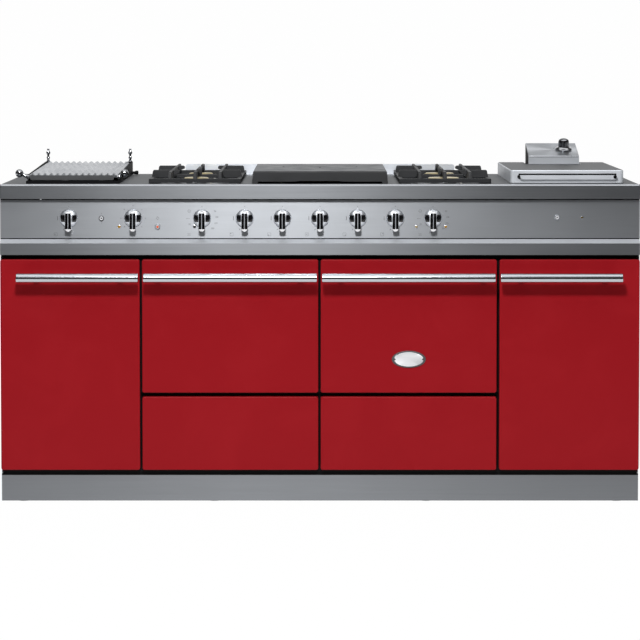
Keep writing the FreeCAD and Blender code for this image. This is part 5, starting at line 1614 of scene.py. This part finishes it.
class COOKER_OT_stage(bpy.types.Operator):
    """Pale floor and backdrop, dark curtain, soft lamps, world and camera"""

    bl_idname = "cooker.stage"
    bl_label = "Studio"

    def execute(self, context):
        scene = context.scene
        wide, near, far, tall = 9, -2.1, 9.8, 9
        curtain_y, curtain_tall = -9.5, 4.2
        white = self.white()
        self.sheet("floor", wide, (near, 0), (far, 0), white)
        self.sheet("backdrop", wide, (far, 0), (far, tall), white)
        self.sheet("curtain", wide, (curtain_y, 0), (curtain_y, curtain_tall), self.cloth())
        self.lamp("key", (-0.27, -3.9, 3.45), (0, -0.3, 0.6), 0.55, 0.55, 172)
        self.lamp("ceiling", (0, -1.2, 4.4), (0, -1.2, 0), 6.0, 5.0, 1.15)
        self.world(scene)
        self.camera(scene, scene.cooker_studio)
        scene.view_settings.view_transform = "Standard"
        return {"FINISHED"}

    def white(self):
        """Paper that looks white to the eye and in reflections, and keeps a soft shadow."""
        material, tree, shader, place = start_material(
            "studio_white", Base_Color=(0.9, 0.9, 0.9, 1), Roughness=0.9)
        rays = add_node(tree, "ShaderNodeLightPath").outputs
        share = rays["Is Camera Ray"]
        for ray in ("Is Glossy Ray", "Is Transmission Ray"):
            share = add_node(tree, "ShaderNodeMath", {0: share, 1: rays[ray]},
                             operation="MAXIMUM").outputs[0]
        share = add_node(tree, "ShaderNodeMath", {0: share, 1: 0.99}, operation="MULTIPLY")
        glow = add_node(tree, "ShaderNodeEmission", {"Color": (1, 1, 1, 1), "Strength": 1.0})
        blend = add_node(tree, "ShaderNodeMixShader", {
            0: share.outputs[0], 1: shader.outputs[0], 2: glow.outputs[0]})
        tree.links.new(blend.outputs[0], tree.nodes["Material Output"].inputs["Surface"])
        return material

    def cloth(self):
        """Black cloth for behind the camera, which polished metal shows as its dark bands."""
        material, tree, shader, place = start_material(
            "black_cloth", Roughness=1.0, Specular_IOR_Level=0.0)
        weave = noise(tree, place, 90.0)
        feed(tree, shader.inputs, Base_Color=mixed(tree, weave, [0.002] * 3, [0.004] * 3))
        return material

    def sheet(self, name, wide, near, far, material):
        """One flat quad of the studio, from its near edge to its far edge."""
        mesh = bpy.data.meshes.new(name)
        mesh.from_pydata([(-wide, *near), (wide, *near), (wide, *far), (-wide, *far)], [],
                         [(0, 1, 2, 3)])
        mesh.materials.append(material)
        thing = add_object(name, mesh)

    def lamp(self, name, place, aim, wide, tall, glow):
        """A soft box of the radiance that is asked for."""
        data = bpy.data.lights.new(name, "AREA")
        data.shape = "RECTANGLE"
        data.size, data.size_y = wide, tall
        data.energy = glow * math.pi * wide * tall
        thing = add_object(name, data)
        thing.location = place
        thing.rotation_euler = (Vector(aim) - Vector(place)).to_track_quat("-Z", "Y").to_euler()
        thing.visible_camera = False

    def world(self, scene):
        scene.world = bpy.data.worlds.new("studio_world")
        scene.world.use_nodes = True
        background = scene.world.node_tree.nodes["Background"].inputs
        background["Color"].default_value = (1, 1, 1, 1)
        background["Strength"].default_value = 0.08

    def camera(self, scene, studio):
        data = bpy.data.cameras.new("camera")
        lens_object = add_object("camera", data)
        down = math.atan((studio.eye - studio.aim) / studio.distance)
        sensor = 36
        data.sensor_width = sensor
        data.lens = sensor * studio.distance / math.cos(down) / studio.frame_width
        data.shift_y = studio.rise
        data.clip_end = 100
        tilt = down + math.atan(studio.rise * sensor / data.lens)
        lens_object.location = (0, FRONT_Y - studio.distance, studio.eye)
        lens_object.rotation_euler = (QUARTER - tilt, 0, 0)
        scene.camera = lens_object


class COOKER_PT_panel(bpy.types.Panel):
    """Lists the builders in the sidebar"""

    bl_idname = "COOKER_PT_panel"
    bl_label = "Range cooker"
    bl_space_type = "VIEW_3D"
    bl_region_type = "UI"
    bl_category = "Cooker"

    def draw(self, context):
        for name, group in PROPERTIES.items():
            for prop in group.__annotations__:
                self.layout.prop(getattr(context.scene, name), prop)
        for operator in OPERATORS:
            self.layout.operator(operator.bl_idname)


PROPERTIES = {"cooker_finish": CookerFinish, "cooker_sizes": CookerSizes,
              "cooker_studio": CookerStudio}
OPERATORS = (
    COOKER_OT_carcass, COOKER_OT_panel_ends, COOKER_OT_plinth, COOKER_OT_worktop,
    COOKER_OT_fronts, COOKER_OT_handles, COOKER_OT_badge, COOKER_OT_knobs, COOKER_OT_buttons,
    COOKER_OT_lamps, COOKER_OT_marks, COOKER_OT_rail, COOKER_OT_burners, COOKER_OT_wells,
    COOKER_OT_grates, COOKER_OT_simmer_plate, COOKER_OT_grill, COOKER_OT_fryer,
    COOKER_OT_ovens, COOKER_OT_stage,
)
CLASSES = tuple(PROPERTIES.values()) + OPERATORS + (COOKER_PT_panel,)


def register():
    for item in CLASSES:
        bpy.utils.register_class(item)
    for name, group in PROPERTIES.items():
        setattr(bpy.types.Scene, name, bpy.props.PointerProperty(type=group))


def unregister():
    for name in PROPERTIES:
        delattr(bpy.types.Scene, name)
    for item in reversed(CLASSES):
        bpy.utils.unregister_class(item)


def main():
    register()
    for operator in OPERATORS:
        family, name = operator.bl_idname.split(".")
        getattr(getattr(bpy.ops, family), name)()
    bpy.context.view_layer.update()


if __name__ == "__main__":
    main()
